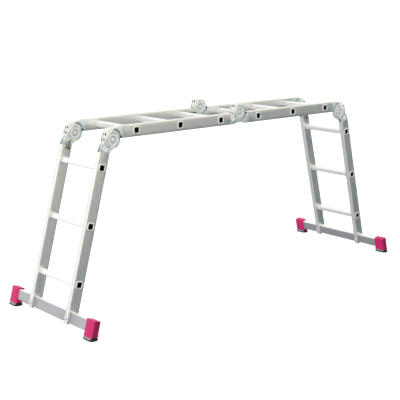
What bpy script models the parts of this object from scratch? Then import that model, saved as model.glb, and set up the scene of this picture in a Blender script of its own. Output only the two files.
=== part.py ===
"""Multi position ladder: four hinged sections standing as a work platform.

Metres, Z up, floor at Z = 0, origin under the middle of the ladder, X along it.
Every section is drawn in its own frame (x along it, z through its depth) and then
set in place, so the near and far sides and the left and right ends share their parts.
"""

import math

import bmesh
import bpy
from mathutils import Matrix, Vector

# ---- section layout ----
RUNG_PITCH = 0.280
RUNGS_PER_SECTION = 3
LADDER_WIDTH = 0.336
LEG_TILT = math.radians(15.0)
SECTION_LENGTH = RUNG_PITCH * RUNGS_PER_SECTION

# ---- clearances ----
FIT_GAP = 0.0003
FOLD_GAP = 0.006
SETBACK_GAP = 0.010

# ---- stiles: rectangular aluminium tube ----
STILE_DEPTH = 0.060
STILE_THICK = 0.026
STILE_WALL = 0.002
STILE_EDGE_RADIUS = 0.004
PIVOT_OFFSET = STILE_DEPTH / 2 + FOLD_GAP / 2

# ---- rungs: square aluminium tube with flared ends ----
RUNG_SIZE = 0.029
RUNG_WALL = 0.0016
RUNG_CORNER = 0.006
FLARE_WIDTH = 0.0055
FLARE_THICK = 0.0028

# ---- stabiliser bars ----
BAR_HEIGHT = 0.054
BAR_THICK = 0.028
BAR_WALL = 0.002
BAR_CORNER = 0.003
BAR_BELOW_LAST_RUNG = 0.1575
BAR_LENGTH = 0.700
BAR_LIFT = 0.0571
STILE_PAST_BAR = 0.0045

# ---- end caps and rubber feet ----
CAP_LENGTH = 0.063
CAP_SIDE_WALL = 0.0030
CAP_EDGE_WALL = 0.0060
CAP_END_WALL = 0.0060
CAP_CORNER = 0.003
CAP_SKIRT = 0.020
CAP_FLOOR_GAP = 0.0155
FOOT_LENGTH = 0.074
FOOT_BASE_WIDTH = 0.0455
FOOT_PLAN_MARGIN = 0.002
FOOT_EDGE = 0.002
FOOT_SOLE = 0.007
FOOT_CORNER = 0.016

# ---- stabiliser bolts ----
BOLT_RADIUS = 0.004
BOLT_HEAD_RADIUS = 0.0077
BOLT_HEAD_HEIGHT = 0.005
BOLT_CROWN_RADIUS = 0.0047
BOLT_SHOULDER_RADIUS = 0.0072
BOLT_SHOULDER_HEIGHT = 0.0028
NUT_RADIUS = 0.0068
BOLT_WASHER = 0.0016
BOLT_WASHER_RADIUS = 0.0095
BOLT_BELOW_CENTRE = 0.0055

# ---- hinges: pressed steel plates ----
DISC_RADIUS = 0.058
HINGE_SETBACK = DISC_RADIUS + SETBACK_GAP
OUTER_PLATE = 0.0030
INNER_PLATE = 0.0025
FRONT_DISC_RADIUS = DISC_RADIUS - 0.015
END_PLATE_CUT = FRONT_DISC_RADIUS - 0.014
END_PLATE_CUT_AT = math.radians(-58.0)
END_PLATE_ARC_END = math.radians(160.0)
MIDDLE_PLATE_CUT = FRONT_DISC_RADIUS - 0.011
MIDDLE_PLATE_CUT_AT = math.radians(153.0)
MIDDLE_PLATE_ARC_START = math.radians(-72.0)
MIDDLE_PLATE_HEEL_DEG = -97.0
DISH_RADIUS = 0.0175
DISH_DEPTH = 0.0012
RING_RADIUS = END_PLATE_CUT - 0.0015
RING_RISE = 0.0013
RING_SLOPE = 0.0025
CORE_RADIUS = DISC_RADIUS - 0.018
SECTOR_START = math.radians(126.0)
PAD_ARC_RADIUS = DISC_RADIUS - 0.006
PAD_START = math.radians(84.0)
PAD_FULL_DEPTH_AT = DISC_RADIUS - 0.020
TONGUE_LENGTH = 0.040
WEB_LENGTH = 0.030
WEB_FROM_TIP = 0.002
WEB_HALF_DEPTH = STILE_DEPTH / 4
PIVOT_RADIUS = 0.006
PIVOT_HEAD_RADIUS = 0.009
PIVOT_HEAD_TOP_RADIUS = 0.0063
PIVOT_HEAD_HEIGHT = 0.0022
BOSS_RADIUS = 0.013
BOSS_RISE = 0.0028
BOSS_ALONG = HINGE_SETBACK - BOSS_RADIUS - 0.005

# ---- hinge locks ----
LOCK_RADIUS = DISC_RADIUS - 0.008
LOCK_ANGLE = math.radians(36.0)
LOCK_BOLT_RADIUS = 0.0042
LOCK_STOPS_DEG = (180.0, 150.0, 105.0)
LATCH_TRAVEL = 0.008
LATCH_BUSH_RADIUS = 0.009
LEVER_REACH = 0.041
LEVER_HEAD_WIDTH = 0.020
LEVER_HEAD_LENGTH = 0.010
LEVER_STEM_WIDTH = 0.007
LEVER_CHAMFER = 0.0015
LEVER_PLATE = 0.0025
LEVER_GRIP_LENGTH = 0.009
LEVER_GRIP_WIDTH = 0.010
LEVER_GRIP_HEIGHT = 0.006
LEVER_GRIP_CORNER = 0.002

# ---- depths inside a hinge, measured inwards from the stile's outside face ----
FLUSH_STEP = 0.0002
PAD_FACE = FLUSH_STEP
PLATE_FACE = STILE_WALL + FIT_GAP
PLATE_BACK = PLATE_FACE + OUTER_PLATE
DISC_FACE = PLATE_BACK + FIT_GAP
DISC_BACK = DISC_FACE + INNER_PLATE
BUSH_FACE = STILE_THICK + FLUSH_STEP
UNION_LAP = 0.0004

# ---- where the frames of the sections are ----
BAR_AT = (RUNGS_PER_SECTION - 0.5) * RUNG_PITCH + BAR_BELOW_LAST_RUNG
DECK_HEIGHT = (
    BAR_LIFT + BAR_AT * math.cos(LEG_TILT) + PIVOT_OFFSET * (1 - math.sin(LEG_TILT))
)
LEG_END = BAR_AT + BAR_HEIGHT / 2 + STILE_PAST_BAR
CAP_HEIGHT = BAR_HEIGHT + 2 * CAP_EDGE_WALL
CAP_THICK = BAR_THICK + 2 * CAP_SIDE_WALL
CAP_OUT_TO = BAR_LENGTH / 2 + CAP_END_WALL

# ---- facets ----
CORNER_STEPS = 2
DISC_STEPS = 20
RING_STEPS = 16
PIVOT_STEPS = 20
PIN_STEPS = 10
HOLE_STEPS = 10

COLOURS = {
    "stile_aluminium": ((0.60, 0.59, 0.56), 0.38, 1.0),
    "rung_aluminium": ((0.72, 0.72, 0.71), 0.34, 1.0),
    "bar_aluminium": ((0.62, 0.64, 0.66), 0.40, 1.0),
    "cap_plastic": ((0.62, 0.03, 0.17), 0.42, 0.0),
    "foot_rubber": ((0.02, 0.02, 0.022), 0.75, 0.0),
    "hinge_zinc": ((0.66, 0.71, 0.71), 0.36, 1.0),
    "disc_zinc": ((0.74, 0.77, 0.77), 0.34, 1.0),
    "rivet_steel": ((0.55, 0.58, 0.58), 0.32, 1.0),
    "latch_yellow_zinc": ((0.62, 0.48, 0.20), 0.40, 1.0),
    "bolt_steel": ((0.70, 0.71, 0.72), 0.30, 1.0),
}

# outlines are drawn in X and Y and pushed along Z; these turn them into place
ALONG_X = Matrix(((0, 0, 1, 0), (1, 0, 0, 0), (0, 1, 0, 0), (0, 0, 0, 1)))
ALONG_Y = Matrix(((1, 0, 0, 0), (0, 0, 1, 0), (0, 1, 0, 0), (0, 0, 0, 1)))


def start_clean():
    for thing in list(bpy.data.objects):
        bpy.data.objects.remove(thing, do_unlink=True)
    ladder = bpy.data.collections.new("multi_position_ladder")
    bpy.context.scene.collection.children.link(ladder)
    return ladder


def material(slot):
    made = bpy.data.materials.get(slot)
    if made:
        return made
    colour, roughness, metallic = COLOURS[slot]
    made = bpy.data.materials.new(slot)
    made.use_nodes = True
    shader = made.node_tree.nodes["Principled BSDF"]
    shader.inputs["Base Color"].default_value = (*colour, 1.0)
    shader.inputs["Roughness"].default_value = roughness
    shader.inputs["Metallic"].default_value = metallic
    return made


# ---- outlines ----


def arc(radius, start, end, steps, centre=(0.0, 0.0)):
    """Points along an arc, both ends included; angles in radians."""
    turn = [start + (end - start) * i / steps for i in range(steps + 1)]
    return [
        (centre[0] + radius * math.cos(a), centre[1] + radius * math.sin(a))
        for a in turn
    ]


def circle(radius, steps, centre=(0.0, 0.0)):
    return arc(radius, 0.0, 2 * math.pi, steps, centre)[:-1]


def round_hole(pin_radius, steps, centre=(0.0, 0.0)):
    """A hole whose flats, not its corners, clear a pin by the fit gap."""
    return circle((pin_radius + FIT_GAP) / math.cos(math.pi / steps), steps, centre)


def rounded_box(width, height, radius, steps=CORNER_STEPS, centre=(0.0, 0.0)):
    points = []
    for quarter, (sx, sy) in enumerate(((1, 1), (-1, 1), (-1, -1), (1, -1))):
        middle = (
            centre[0] + sx * (width / 2 - radius),
            centre[1] + sy * (height / 2 - radius),
        )
        start = quarter * math.pi / 2
        points += arc(radius, start, start + math.pi / 2, steps, middle)
    return points


def box_outline(low, high):
    return [low, (high[0], low[1]), high, (low[0], high[1])]


# ---- solids ----


def object_from(name, mesh):
    made = bpy.data.objects.new(name, mesh)
    bpy.context.scene.collection.objects.link(made)
    return made


def baked(thing):
    """The mesh that a thing evaluates to, as a plain object in its place."""
    bpy.context.view_layer.update()
    graph = bpy.context.evaluated_depsgraph_get()
    mesh = bpy.data.meshes.new_from_object(thing.evaluated_get(graph))
    name = thing.name
    bpy.data.objects.remove(thing, do_unlink=True)
    work = bmesh.new()
    work.from_mesh(mesh)
    bmesh.ops.remove_doubles(work, verts=work.verts, dist=0.000001)
    bmesh.ops.recalc_face_normals(work, faces=work.faces)
    work.to_mesh(mesh)
    work.free()
    return object_from(name, mesh)


def prism(loops, low, high):
    """A flat outline, with any holes as further loops, pushed from low to high."""
    curve = bpy.data.curves.new("outline", "CURVE")
    curve.dimensions = "2D"
    curve.fill_mode = "BOTH"
    curve.extrude = (high - low) / 2
    for loop in loops:
        spline = curve.splines.new("POLY")
        spline.points.add(len(loop) - 1)
        for point, (x, y) in zip(spline.points, loop):
            point.co = (x, y, 0.0, 1.0)
        spline.use_cyclic_u = True
    made = baked(object_from("prism", curve))
    made.data.transform(Matrix.Translation((0, 0, (low + high) / 2)))
    return made


def turned(profile, steps, closed=False):
    """A profile of (radius, height) points turned about Z."""
    mesh = bpy.data.meshes.new("profile")
    edges = [(i, i + 1) for i in range(len(profile) - 1)]
    if closed:
        edges.append((len(profile) - 1, 0))
    mesh.from_pydata([(r, 0.0, z) for r, z in profile], edges, [])
    made = object_from("turned", mesh)
    screw = made.modifiers.new("turn", "SCREW")
    screw.steps = steps
    screw.render_steps = steps
    screw.use_merge_vertices = True
    screw.merge_threshold = 0.000001
    return baked(made)


def moved(thing, matrix):
    thing.data.transform(matrix)
    if matrix.to_3x3().determinant() < 0:
        thing.data.flip_normals()
    return thing


def combined(base, other, operation):
    step = base.modifiers.new("step", "BOOLEAN")
    step.operation = operation
    step.solver = "EXACT"
    step.object = other
    made = baked(base)
    bpy.data.objects.remove(other, do_unlink=True)
    return made


def cut(base, other):
    return combined(base, other, "DIFFERENCE")


def joined(base, *others):
    for other in others:
        base = combined(base, other, "UNION")
    return base


# ---- frames ----


def leg_axes():
    """Directions of the right leg: down its length, and out through its depth."""
    down = Vector((math.sin(LEG_TILT), 0, -math.cos(LEG_TILT)))
    out = Vector((math.cos(LEG_TILT), 0, math.sin(LEG_TILT)))
    return down, out


def frame(origin, x, y, z):
    rows = Matrix((x, y, z)).transposed().to_4x4()
    rows.translation = origin
    return rows


def pivot_point(place):
    if place == "middle":
        return Vector((0, 0, DECK_HEIGHT + PIVOT_OFFSET))
    side = -1 if place == "left" else 1
    return Vector((side * SECTION_LENGTH, 0, DECK_HEIGHT - PIVOT_OFFSET))


MIRROR_X = Matrix.Scale(-1, 4, (1, 0, 0))
ACROSS = Vector((0, 1, 0))


def section_frame(section):
    """x runs along the section away from the ladder's middle, z through its depth."""
    if section.startswith("deck"):
        made = Matrix.Translation((0, 0, DECK_HEIGHT))
    else:
        down, out = leg_axes()
        centre = pivot_point("right") + out * PIVOT_OFFSET
        made = frame(centre, down, ACROSS, out)
    return MIRROR_X @ made if section.endswith("left") else made


def hinge_frame(place, half):
    """Pivot at the origin; the outer half lies along -x, the inner along +x."""
    if place == "middle":
        return Matrix.Translation(pivot_point("middle"))
    down, out = leg_axes()
    pivot = pivot_point("right")
    if half == "outer":
        made = frame(pivot, -down, ACROSS, -out)
    else:
        made = frame(pivot, Vector((-1, 0, 0)), ACROSS, Vector((0, 0, -1)))
    return MIRROR_X @ made if place == "left" else made


def side_frame(side):
    """Turns outline coordinates (x, z, depth inwards) into a hinge's own frame."""
    toward = -1 if side == "near" else 1
    return Matrix(
        (
            (1, 0, 0, 0),
            (0, 0, -toward, toward * LADDER_WIDTH / 2),
            (0, 1, 0, 0),
            (0, 0, 0, 1),
        )
    )


def finish(thing, name, slot, origin, ladder):
    """Name, origin on the joint axis, material, shading and collection."""
    thing.name = name
    thing.data.name = name
    thing.data.transform(Matrix.Translation(-Vector(origin)))
    thing.location = origin
    thing.data.materials.clear()
    thing.data.materials.append(material(slot))
    for face in thing.data.polygons:
        face.use_smooth = True
    thing.data.set_sharp_from_angle(angle=math.radians(35))
    bpy.context.scene.collection.objects.unlink(thing)
    ladder.objects.link(thing)


def body_origin(section):
    """The joint axis that a section turns about."""
    places = {"leg_left": "left", "deck_right": "middle", "leg_right": "right"}
    if section in places:
        return pivot_point(places[section])
    return Vector((0, 0, DECK_HEIGHT))


# ---- stiles ----


def rung_positions():
    return [(i + 0.5) * RUNG_PITCH for i in range(RUNGS_PER_SECTION)]


def stile(is_leg):
    """A hollow tube with rung holes; a leg's lower end forks around its bar."""
    end = LEG_END if is_leg else SECTION_LENGTH - HINGE_SETBACK
    outside = rounded_box(STILE_THICK, STILE_DEPTH, STILE_EDGE_RADIUS)
    half_x = STILE_THICK / 2 - STILE_WALL
    half_z = STILE_DEPTH / 2 - STILE_WALL
    inside = box_outline((-half_x, -half_z), (half_x, half_z))
    made = moved(prism([outside, inside], HINGE_SETBACK, end), ALONG_X)
    hole = RUNG_SIZE + 2 * FIT_GAP
    for at in rung_positions():
        loop = rounded_box(hole, hole, RUNG_CORNER + FIT_GAP, centre=(at, 0.0))
        made = cut(made, moved(prism([loop], -STILE_THICK, STILE_THICK), ALONG_Y))
    if is_leg:
        made = cut(made, fork_cutter())
        made = cut(made, bolt_hole_cutter())
    return made


def fork_cutter():
    top = BAR_AT - BAR_HEIGHT / 2 - FIT_GAP
    half = BAR_THICK / 2 + FIT_GAP
    loop = box_outline((top, -half), (LEG_END + STILE_THICK, half))
    return moved(prism([loop], -STILE_THICK, STILE_THICK), ALONG_Y)


def bolt_hole_cutter(middle_y=0.0):
    centre = (BAR_AT + BOLT_BELOW_CENTRE, middle_y)
    loop = round_hole(BOLT_RADIUS, PIN_STEPS, centre)
    return prism([loop], -STILE_DEPTH, STILE_DEPTH)


def stile_offset(side):
    toward = -1 if side == "near" else 1
    return toward * (LADDER_WIDTH - STILE_THICK) / 2


# ---- rungs ----


def rung():
    """A square tube with a flared bead outside each stile."""
    half = LADDER_WIDTH / 2
    bore = RUNG_SIZE - 2 * RUNG_WALL
    flare = RUNG_SIZE + 2 * FLARE_WIDTH
    outside = rounded_box(RUNG_SIZE, RUNG_SIZE, RUNG_CORNER)
    inside = rounded_box(bore, bore, RUNG_CORNER - RUNG_WALL, 1)
    in_wall = rounded_box(bore + RUNG_WALL, bore + RUNG_WALL, RUNG_CORNER, 1)
    wide = rounded_box(flare, flare, RUNG_CORNER + FLARE_WIDTH)
    near = half + FIT_GAP
    far = near + FLARE_THICK
    made = prism([outside, inside], -far - UNION_LAP, far + UNION_LAP)
    for low, high in ((-far, -near), (near, far)):
        made = joined(made, prism([wide, in_wall], low, high))
    return moved(made, ALONG_Y)


# ---- stabiliser bar, caps, feet and bolts ----


def stabiliser_bar():
    outside = rounded_box(BAR_HEIGHT, BAR_THICK, BAR_CORNER, centre=(BAR_AT, 0.0))
    inside = rounded_box(
        BAR_HEIGHT - 2 * BAR_WALL,
        BAR_THICK - 2 * BAR_WALL,
        BAR_CORNER - BAR_WALL,
        1,
        (BAR_AT, 0.0),
    )
    made = prism([outside, inside], -BAR_LENGTH / 2, BAR_LENGTH / 2)
    made = moved(made, ALONG_Y)
    for side in ("near", "far"):
        made = cut(made, bolt_hole_cutter(stile_offset(side)))
    return made


def end_cap():
    """A plastic cup over the bar's far end, at the far side; its skirt is still uncut."""
    outside = rounded_box(
        CAP_HEIGHT + CAP_SKIRT, CAP_THICK, CAP_CORNER, 3, (BAR_AT + CAP_SKIRT / 2, 0.0)
    )
    pocket = rounded_box(
        BAR_HEIGHT + 2 * FIT_GAP, BAR_THICK + 2 * FIT_GAP, BAR_CORNER, 2, (BAR_AT, 0.0)
    )
    made = prism([outside], CAP_OUT_TO - CAP_LENGTH, CAP_OUT_TO)
    inner = BAR_LENGTH / 2 + FIT_GAP
    made = cut(made, prism([pocket], CAP_OUT_TO - 2 * CAP_LENGTH, inner))
    return moved(made, ALONG_Y)


def level_cut(cap):
    """Cuts a standing cap's skirt level, a foot's height above the floor."""
    reach = SECTION_LENGTH + LEG_END
    floor = box_outline((-reach, -BAR_LENGTH), (reach, BAR_LENGTH))
    return cut(cap, prism([floor], -CAP_SKIRT, CAP_FLOOR_GAP))


def leg_line_x(height):
    """Where the right leg's middle line is at a height above the floor."""
    down, out = leg_axes()
    centre = pivot_point("right") + out * PIVOT_OFFSET
    return centre.x + (centre.z - height) * math.tan(LEG_TILT)


def foot():
    """A level rubber pad under the cap, sloping out to a wider base."""
    top = CAP_FLOOR_GAP - FIT_GAP
    top_half = CAP_THICK / 2 / math.cos(LEG_TILT)
    top_x = leg_line_x(top)
    base_x = leg_line_x(top / 2)
    base_half = FOOT_BASE_WIDTH / 2
    side_view = [
        (top_x - top_half, top),
        (base_x - base_half, FOOT_SOLE),
        (base_x - base_half + FOOT_EDGE, 0.0),
        (base_x + base_half - FOOT_EDGE, 0.0),
        (base_x + base_half, FOOT_SOLE),
        (top_x + top_half, top),
    ]
    low = CAP_OUT_TO - CAP_LENGTH / 2 - FOOT_LENGTH / 2
    made = moved(prism([side_view], low, low + FOOT_LENGTH), ALONG_Y)
    middle = (base_x, low + FOOT_LENGTH / 2)
    width = FOOT_BASE_WIDTH + 2 * FOOT_PLAN_MARGIN
    plan = rounded_box(width, FOOT_LENGTH, FOOT_CORNER, 3, middle)
    keep = prism([plan], -FOOT_LENGTH, FOOT_LENGTH)
    return combined(made, keep, "INTERSECT")


def bar_bolt():
    """Head and washer outside, shank through fork and bar, nut inside."""
    face = STILE_DEPTH / 2 + FIT_GAP
    washer = face + BOLT_WASHER
    top = washer + BOLT_HEAD_HEIGHT
    profile = [
        (0.0, top),
        (BOLT_CROWN_RADIUS, top),
        (BOLT_SHOULDER_RADIUS, washer + BOLT_SHOULDER_HEIGHT),
        (BOLT_HEAD_RADIUS, washer),
        (BOLT_WASHER_RADIUS, washer),
        (BOLT_WASHER_RADIUS, face),
        (BOLT_RADIUS, face),
        (BOLT_RADIUS, -face),
        (BOLT_WASHER_RADIUS, -face),
        (BOLT_WASHER_RADIUS, -washer),
        (NUT_RADIUS, -washer),
        (NUT_RADIUS, -top),
        (0.0, -top),
    ]
    return turned(profile, HOLE_STEPS)


# ---- hinge halves ----

STILE_TOP = -FOLD_GAP / 2
STILE_BOTTOM = -(FOLD_GAP / 2 + STILE_DEPTH)
TONGUE_TOP = STILE_TOP - STILE_WALL - FIT_GAP
TONGUE_BOTTOM = STILE_BOTTOM + STILE_WALL + FIT_GAP
BRACKET_END = HINGE_SETBACK - FIT_GAP
TONGUE_END = BRACKET_END + TONGUE_LENGTH


def polar(radius, degrees):
    a = math.radians(degrees)
    return (radius * math.cos(a), radius * math.sin(a))


def tongue(sign):
    """The stepped-in strip of a plate that goes inside its stile."""
    x = sign * BRACKET_END
    end = sign * TONGUE_END
    return [
        (x, STILE_BOTTOM + FIT_GAP),
        (x, TONGUE_BOTTOM),
        (end, TONGUE_BOTTOM),
        (end, TONGUE_TOP),
        (x, TONGUE_TOP),
        (x, STILE_TOP - FIT_GAP),
    ]


def web(sign, plate_back):
    """The block inside a stile that joins a half's two plates."""
    ends = sorted(
        (sign * (TONGUE_END - WEB_FROM_TIP), sign * (TONGUE_END - WEB_FROM_TIP - WEB_LENGTH))
    )
    low = (ends[0], -PIVOT_OFFSET - WEB_HALF_DEPTH)
    high = (ends[1], -PIVOT_OFFSET + WEB_HALF_DEPTH)
    lap = plate_back - UNION_LAP
    return prism([box_outline(low, high)], lap, STILE_THICK - lap)


def cut_line(distance, toward, to_z):
    """Where a straight cut meets the front disc, and where it reaches a height."""
    meets = toward + math.acos(distance / FRONT_DISC_RADIUS)
    meets_again = toward - math.acos(distance / FRONT_DISC_RADIUS)
    foot_x = distance * math.cos(toward)
    foot_z = distance * math.sin(toward)
    x = foot_x - (to_z - foot_z) * math.tan(toward)
    return meets, meets_again, (x, to_z)


def end_plate_outline():
    """Outer plate of an end hinge: its disc is cut straight on the stile's far side."""
    low = STILE_BOTTOM + 2 * STILE_WALL
    start, _, corner = cut_line(END_PLATE_CUT, END_PLATE_CUT_AT, low)
    disc = arc(FRONT_DISC_RADIUS, start, END_PLATE_ARC_END, DISC_STEPS // 2)
    shoulder = (SETBACK_GAP + FIT_GAP - BRACKET_END, STILE_TOP - FIT_GAP)
    return disc + [shoulder] + tongue(-1)[::-1] + [corner]


def middle_plate_outline():
    """Outer plate of a middle hinge: its disc is cut straight on the folding side."""
    low = STILE_TOP - SETBACK_GAP
    _, end, corner = cut_line(MIDDLE_PLATE_CUT, MIDDLE_PLATE_CUT_AT, low)
    disc = arc(FRONT_DISC_RADIUS, MIDDLE_PLATE_ARC_START, end, DISC_STEPS // 2)
    heel = (-PAD_FULL_DEPTH_AT, STILE_BOTTOM + FIT_GAP)
    chin = polar(PAD_ARC_RADIUS, MIDDLE_PLATE_HEEL_DEG)
    return disc + [corner] + tongue(-1)[::-1] + [heel, chin]


def pressed_disc():
    """The raised ring and sunk dish round the pivot of an outer plate."""
    sunk = PLATE_FACE + DISH_DEPTH
    risen = PLATE_FACE - RING_RISE
    bore = (PIVOT_RADIUS + FIT_GAP) / math.cos(math.pi / RING_STEPS)
    profile = [
        (bore, PLATE_BACK),
        (bore, sunk),
        (DISH_RADIUS, sunk),
        (DISH_RADIUS + RING_SLOPE, risen),
        (RING_RADIUS - RING_SLOPE, risen),
        (RING_RADIUS, PLATE_FACE),
        (RING_RADIUS, PLATE_BACK),
    ]
    return turned(profile, RING_STEPS, closed=True)


def mirrored_depth(thing):
    """The same piece on the hinge's other face."""
    turn = Matrix.Translation((0, 0, STILE_THICK)) @ Matrix.Scale(-1, 4, (0, 0, 1))
    return moved(thing, turn)


def lock_point(degrees):
    return polar(LOCK_RADIUS, degrees)


def bolt_seat():
    """Where the lock bolt passes through the outer half."""
    return lock_point(180.0 + math.degrees(LOCK_ANGLE))


def outer_half(place):
    """Two plates outside the discs, joined by a block inside the stile."""
    outline = middle_plate_outline() if place == "middle" else end_plate_outline()
    ring_hole = circle(RING_RADIUS - UNION_LAP, RING_STEPS)
    lock_hole = round_hole(LOCK_BOLT_RADIUS, PIN_STEPS, bolt_seat())
    front = joined(prism([outline, ring_hole], PLATE_FACE, PLATE_BACK), pressed_disc())
    back = mirrored_depth(
        joined(
            prism([outline, ring_hole, lock_hole], PLATE_FACE, PLATE_BACK),
            pressed_disc(),
        )
    )
    boss = prism(
        [circle(BOSS_RADIUS, RING_STEPS, (-BOSS_ALONG, -PIVOT_OFFSET))],
        PLATE_FACE - BOSS_RISE,
        PLATE_FACE + UNION_LAP,
    )
    bush = prism(
        [
            circle(LATCH_BUSH_RADIUS, PIN_STEPS, bolt_seat()),
            round_hole(LOCK_BOLT_RADIUS, PIN_STEPS, bolt_seat()),
        ],
        STILE_THICK - PLATE_FACE - UNION_LAP,
        BUSH_FACE,
    )
    return joined(front, boss, web(-1, PLATE_BACK), joined(back, bush))


def disc_outline():
    """A round core, full radius only over the sector that carries the lock holes."""
    start = math.asin((FOLD_GAP / 2 + FIT_GAP) / CORE_RADIUS)
    core = arc(CORE_RADIUS, -start, SECTOR_START, DISC_STEPS // 2)
    end = 2 * math.pi - PAD_START
    sector = arc(DISC_RADIUS, SECTOR_START, end, DISC_STEPS // 2)
    return core + sector + [(PAD_FULL_DEPTH_AT, STILE_BOTTOM + FIT_GAP)] + tongue(1)


def pad_outline():
    start = math.asin((FOLD_GAP / 2 + FIT_GAP) / PAD_ARC_RADIUS)
    inner = arc(PAD_ARC_RADIUS, -PAD_START, -start, DISC_STEPS // 4)
    return inner + [
        (BRACKET_END, STILE_TOP - FIT_GAP),
        (BRACKET_END, STILE_BOTTOM + FIT_GAP),
        (PAD_FULL_DEPTH_AT, STILE_BOTTOM + FIT_GAP),
    ]


def inner_half():
    """Two locking discs between the plates, with pads flush with the stile."""
    holes = [round_hole(PIVOT_RADIUS, PIVOT_STEPS)]
    for stop in LOCK_STOPS_DEG:
        centre = lock_point(stop + math.degrees(LOCK_ANGLE))
        holes.append(round_hole(LOCK_BOLT_RADIUS, HOLE_STEPS, centre))
    sides = []
    for _ in range(2):
        disc = prism([disc_outline()] + holes, DISC_FACE, DISC_BACK)
        pad = prism([pad_outline()], PAD_FACE, DISC_FACE + UNION_LAP)
        sides.append(joined(disc, pad))
    return joined(sides[0], web(1, DISC_BACK), mirrored_depth(sides[1]))


def pivot_rivet():
    seat = PLATE_FACE + DISH_DEPTH - FIT_GAP
    head = seat - PIVOT_HEAD_HEIGHT
    back_seat = STILE_THICK - seat
    back_head = STILE_THICK - head
    profile = [
        (0.0, head),
        (PIVOT_HEAD_TOP_RADIUS, head),
        (PIVOT_HEAD_RADIUS, seat),
        (PIVOT_RADIUS, seat),
        (PIVOT_RADIUS, back_seat),
        (PIVOT_HEAD_RADIUS, back_seat),
        (PIVOT_HEAD_TOP_RADIUS, back_head),
        (0.0, back_head),
    ]
    return turned(profile, PIVOT_STEPS)


def lever_outline(x, z):
    """A T: a crossbar over the lock bolt, and a stem that runs along the stile."""
    front = x + LEVER_HEAD_LENGTH / 2
    back = x - LEVER_HEAD_LENGTH / 2
    half = LEVER_HEAD_WIDTH / 2
    upper = [
        (front, half - LEVER_CHAMFER),
        (front - LEVER_CHAMFER, half),
        (back + LEVER_CHAMFER, half),
        (back, half - LEVER_CHAMFER),
        (back, LEVER_STEM_WIDTH / 2),
        (x - LEVER_REACH, LEVER_STEM_WIDTH / 2),
    ]
    lower = [(across, -away) for across, away in reversed(upper)]
    return [(across, z + away) for across, away in upper + lower]


def latch():
    """Lock bolt, just clear of the disc, with its lever and finger grip."""
    x, z = bolt_seat()
    nose = STILE_THICK - DISC_FACE + UNION_LAP
    plate = BUSH_FACE + UNION_LAP + LATCH_TRAVEL
    bolt = prism(
        [circle(LOCK_BOLT_RADIUS, PIN_STEPS, (x, z))], nose, plate + LEVER_PLATE / 2
    )
    lever = prism([lever_outline(x, z)], plate, plate + LEVER_PLATE)
    outline = rounded_box(
        LEVER_GRIP_LENGTH,
        LEVER_GRIP_WIDTH,
        LEVER_GRIP_CORNER,
        1,
        (x - LEVER_REACH, z),
    )
    grip = prism(
        [outline], plate - UNION_LAP / 2, plate + LEVER_PLATE + LEVER_GRIP_HEIGHT
    )
    return joined(lever, bolt, grip)


# ---- putting the ladder together ----


def copy_of(thing):
    return object_from(thing.name, thing.data.copy())


def build_sections(ladder):
    shapes = {"deck": stile(False), "leg": stile(True), "rung": rung()}
    for section in ("deck_left", "deck_right", "leg_left", "leg_right"):
        place = section_frame(section)
        origin = body_origin(section)
        for side in ("near", "far"):
            piece = copy_of(shapes[section.split("_")[0]])
            moved(piece, place @ Matrix.Translation((0, stile_offset(side), 0)))
            finish(piece, f"{section}_stile_{side}", "stile_aluminium", origin, ladder)
        for number, at in enumerate(rung_positions(), 1):
            piece = copy_of(shapes["rung"])
            moved(piece, place @ Matrix.Translation((at, 0, 0)))
            finish(piece, f"{section}_rung_{number}", "rung_aluminium", origin, ladder)
    for shape in shapes.values():
        bpy.data.objects.remove(shape, do_unlink=True)


def build_feet(ladder):
    mirror_y = Matrix.Scale(-1, 4, (0, 1, 0))
    for section in ("leg_left", "leg_right"):
        place = section_frame(section)
        origin = body_origin(section)
        bar = moved(stabiliser_bar(), place)
        finish(bar, f"{section}_stabiliser_bar", "bar_aluminium", origin, ladder)
        whole = MIRROR_X if section.endswith("left") else Matrix.Identity(4)
        for side in ("near", "far"):
            flip = mirror_y if side == "near" else Matrix.Identity(4)
            cap = level_cut(moved(end_cap(), place @ flip))
            finish(cap, f"{section}_end_cap_{side}", "cap_plastic", origin, ladder)
            block = moved(foot(), whole @ flip)
            finish(block, f"{section}_foot_{side}", "foot_rubber", origin, ladder)
            at = Matrix.Translation(
                (BAR_AT + BOLT_BELOW_CENTRE, stile_offset(side), 0)
            )
            bolt = moved(bar_bolt(), place @ at)
            finish(bolt, f"{section}_bar_bolt_{side}", "bolt_steel", origin, ladder)


def build_hinges(ladder):
    outer_body = {"left": "leg_left", "middle": "deck_left", "right": "leg_right"}
    inner_body = {"left": "deck_left", "middle": "deck_right", "right": "deck_right"}
    for place in ("left", "middle", "right"):
        for side in ("near", "far"):
            name = f"hinge_{place}_{side}"
            outer_place = hinge_frame(place, "outer") @ side_frame(side)
            inner_place = hinge_frame(place, "inner") @ side_frame(side)
            outer_origin = body_origin(outer_body[place])
            inner_origin = body_origin(inner_body[place])
            piece = moved(outer_half(place), outer_place)
            finish(piece, f"{name}_outer_half", "hinge_zinc", outer_origin, ladder)
            piece = moved(inner_half(), inner_place)
            finish(piece, f"{name}_inner_half", "disc_zinc", inner_origin, ladder)
            piece = moved(pivot_rivet(), outer_place)
            finish(piece, f"{name}_pivot_rivet", "rivet_steel", outer_origin, ladder)
            piece = moved(latch(), outer_place)
            x, z = bolt_seat()
            axis = outer_place @ Vector((x, z, STILE_THICK))
            finish(piece, f"{name}_latch", "latch_yellow_zinc", axis, ladder)


def build():
    ladder = start_clean()
    build_sections(ladder)
    build_feet(ladder)
    build_hinges(ladder)


build()
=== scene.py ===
import math

import bpy
from mathutils import Matrix, Vector


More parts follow.
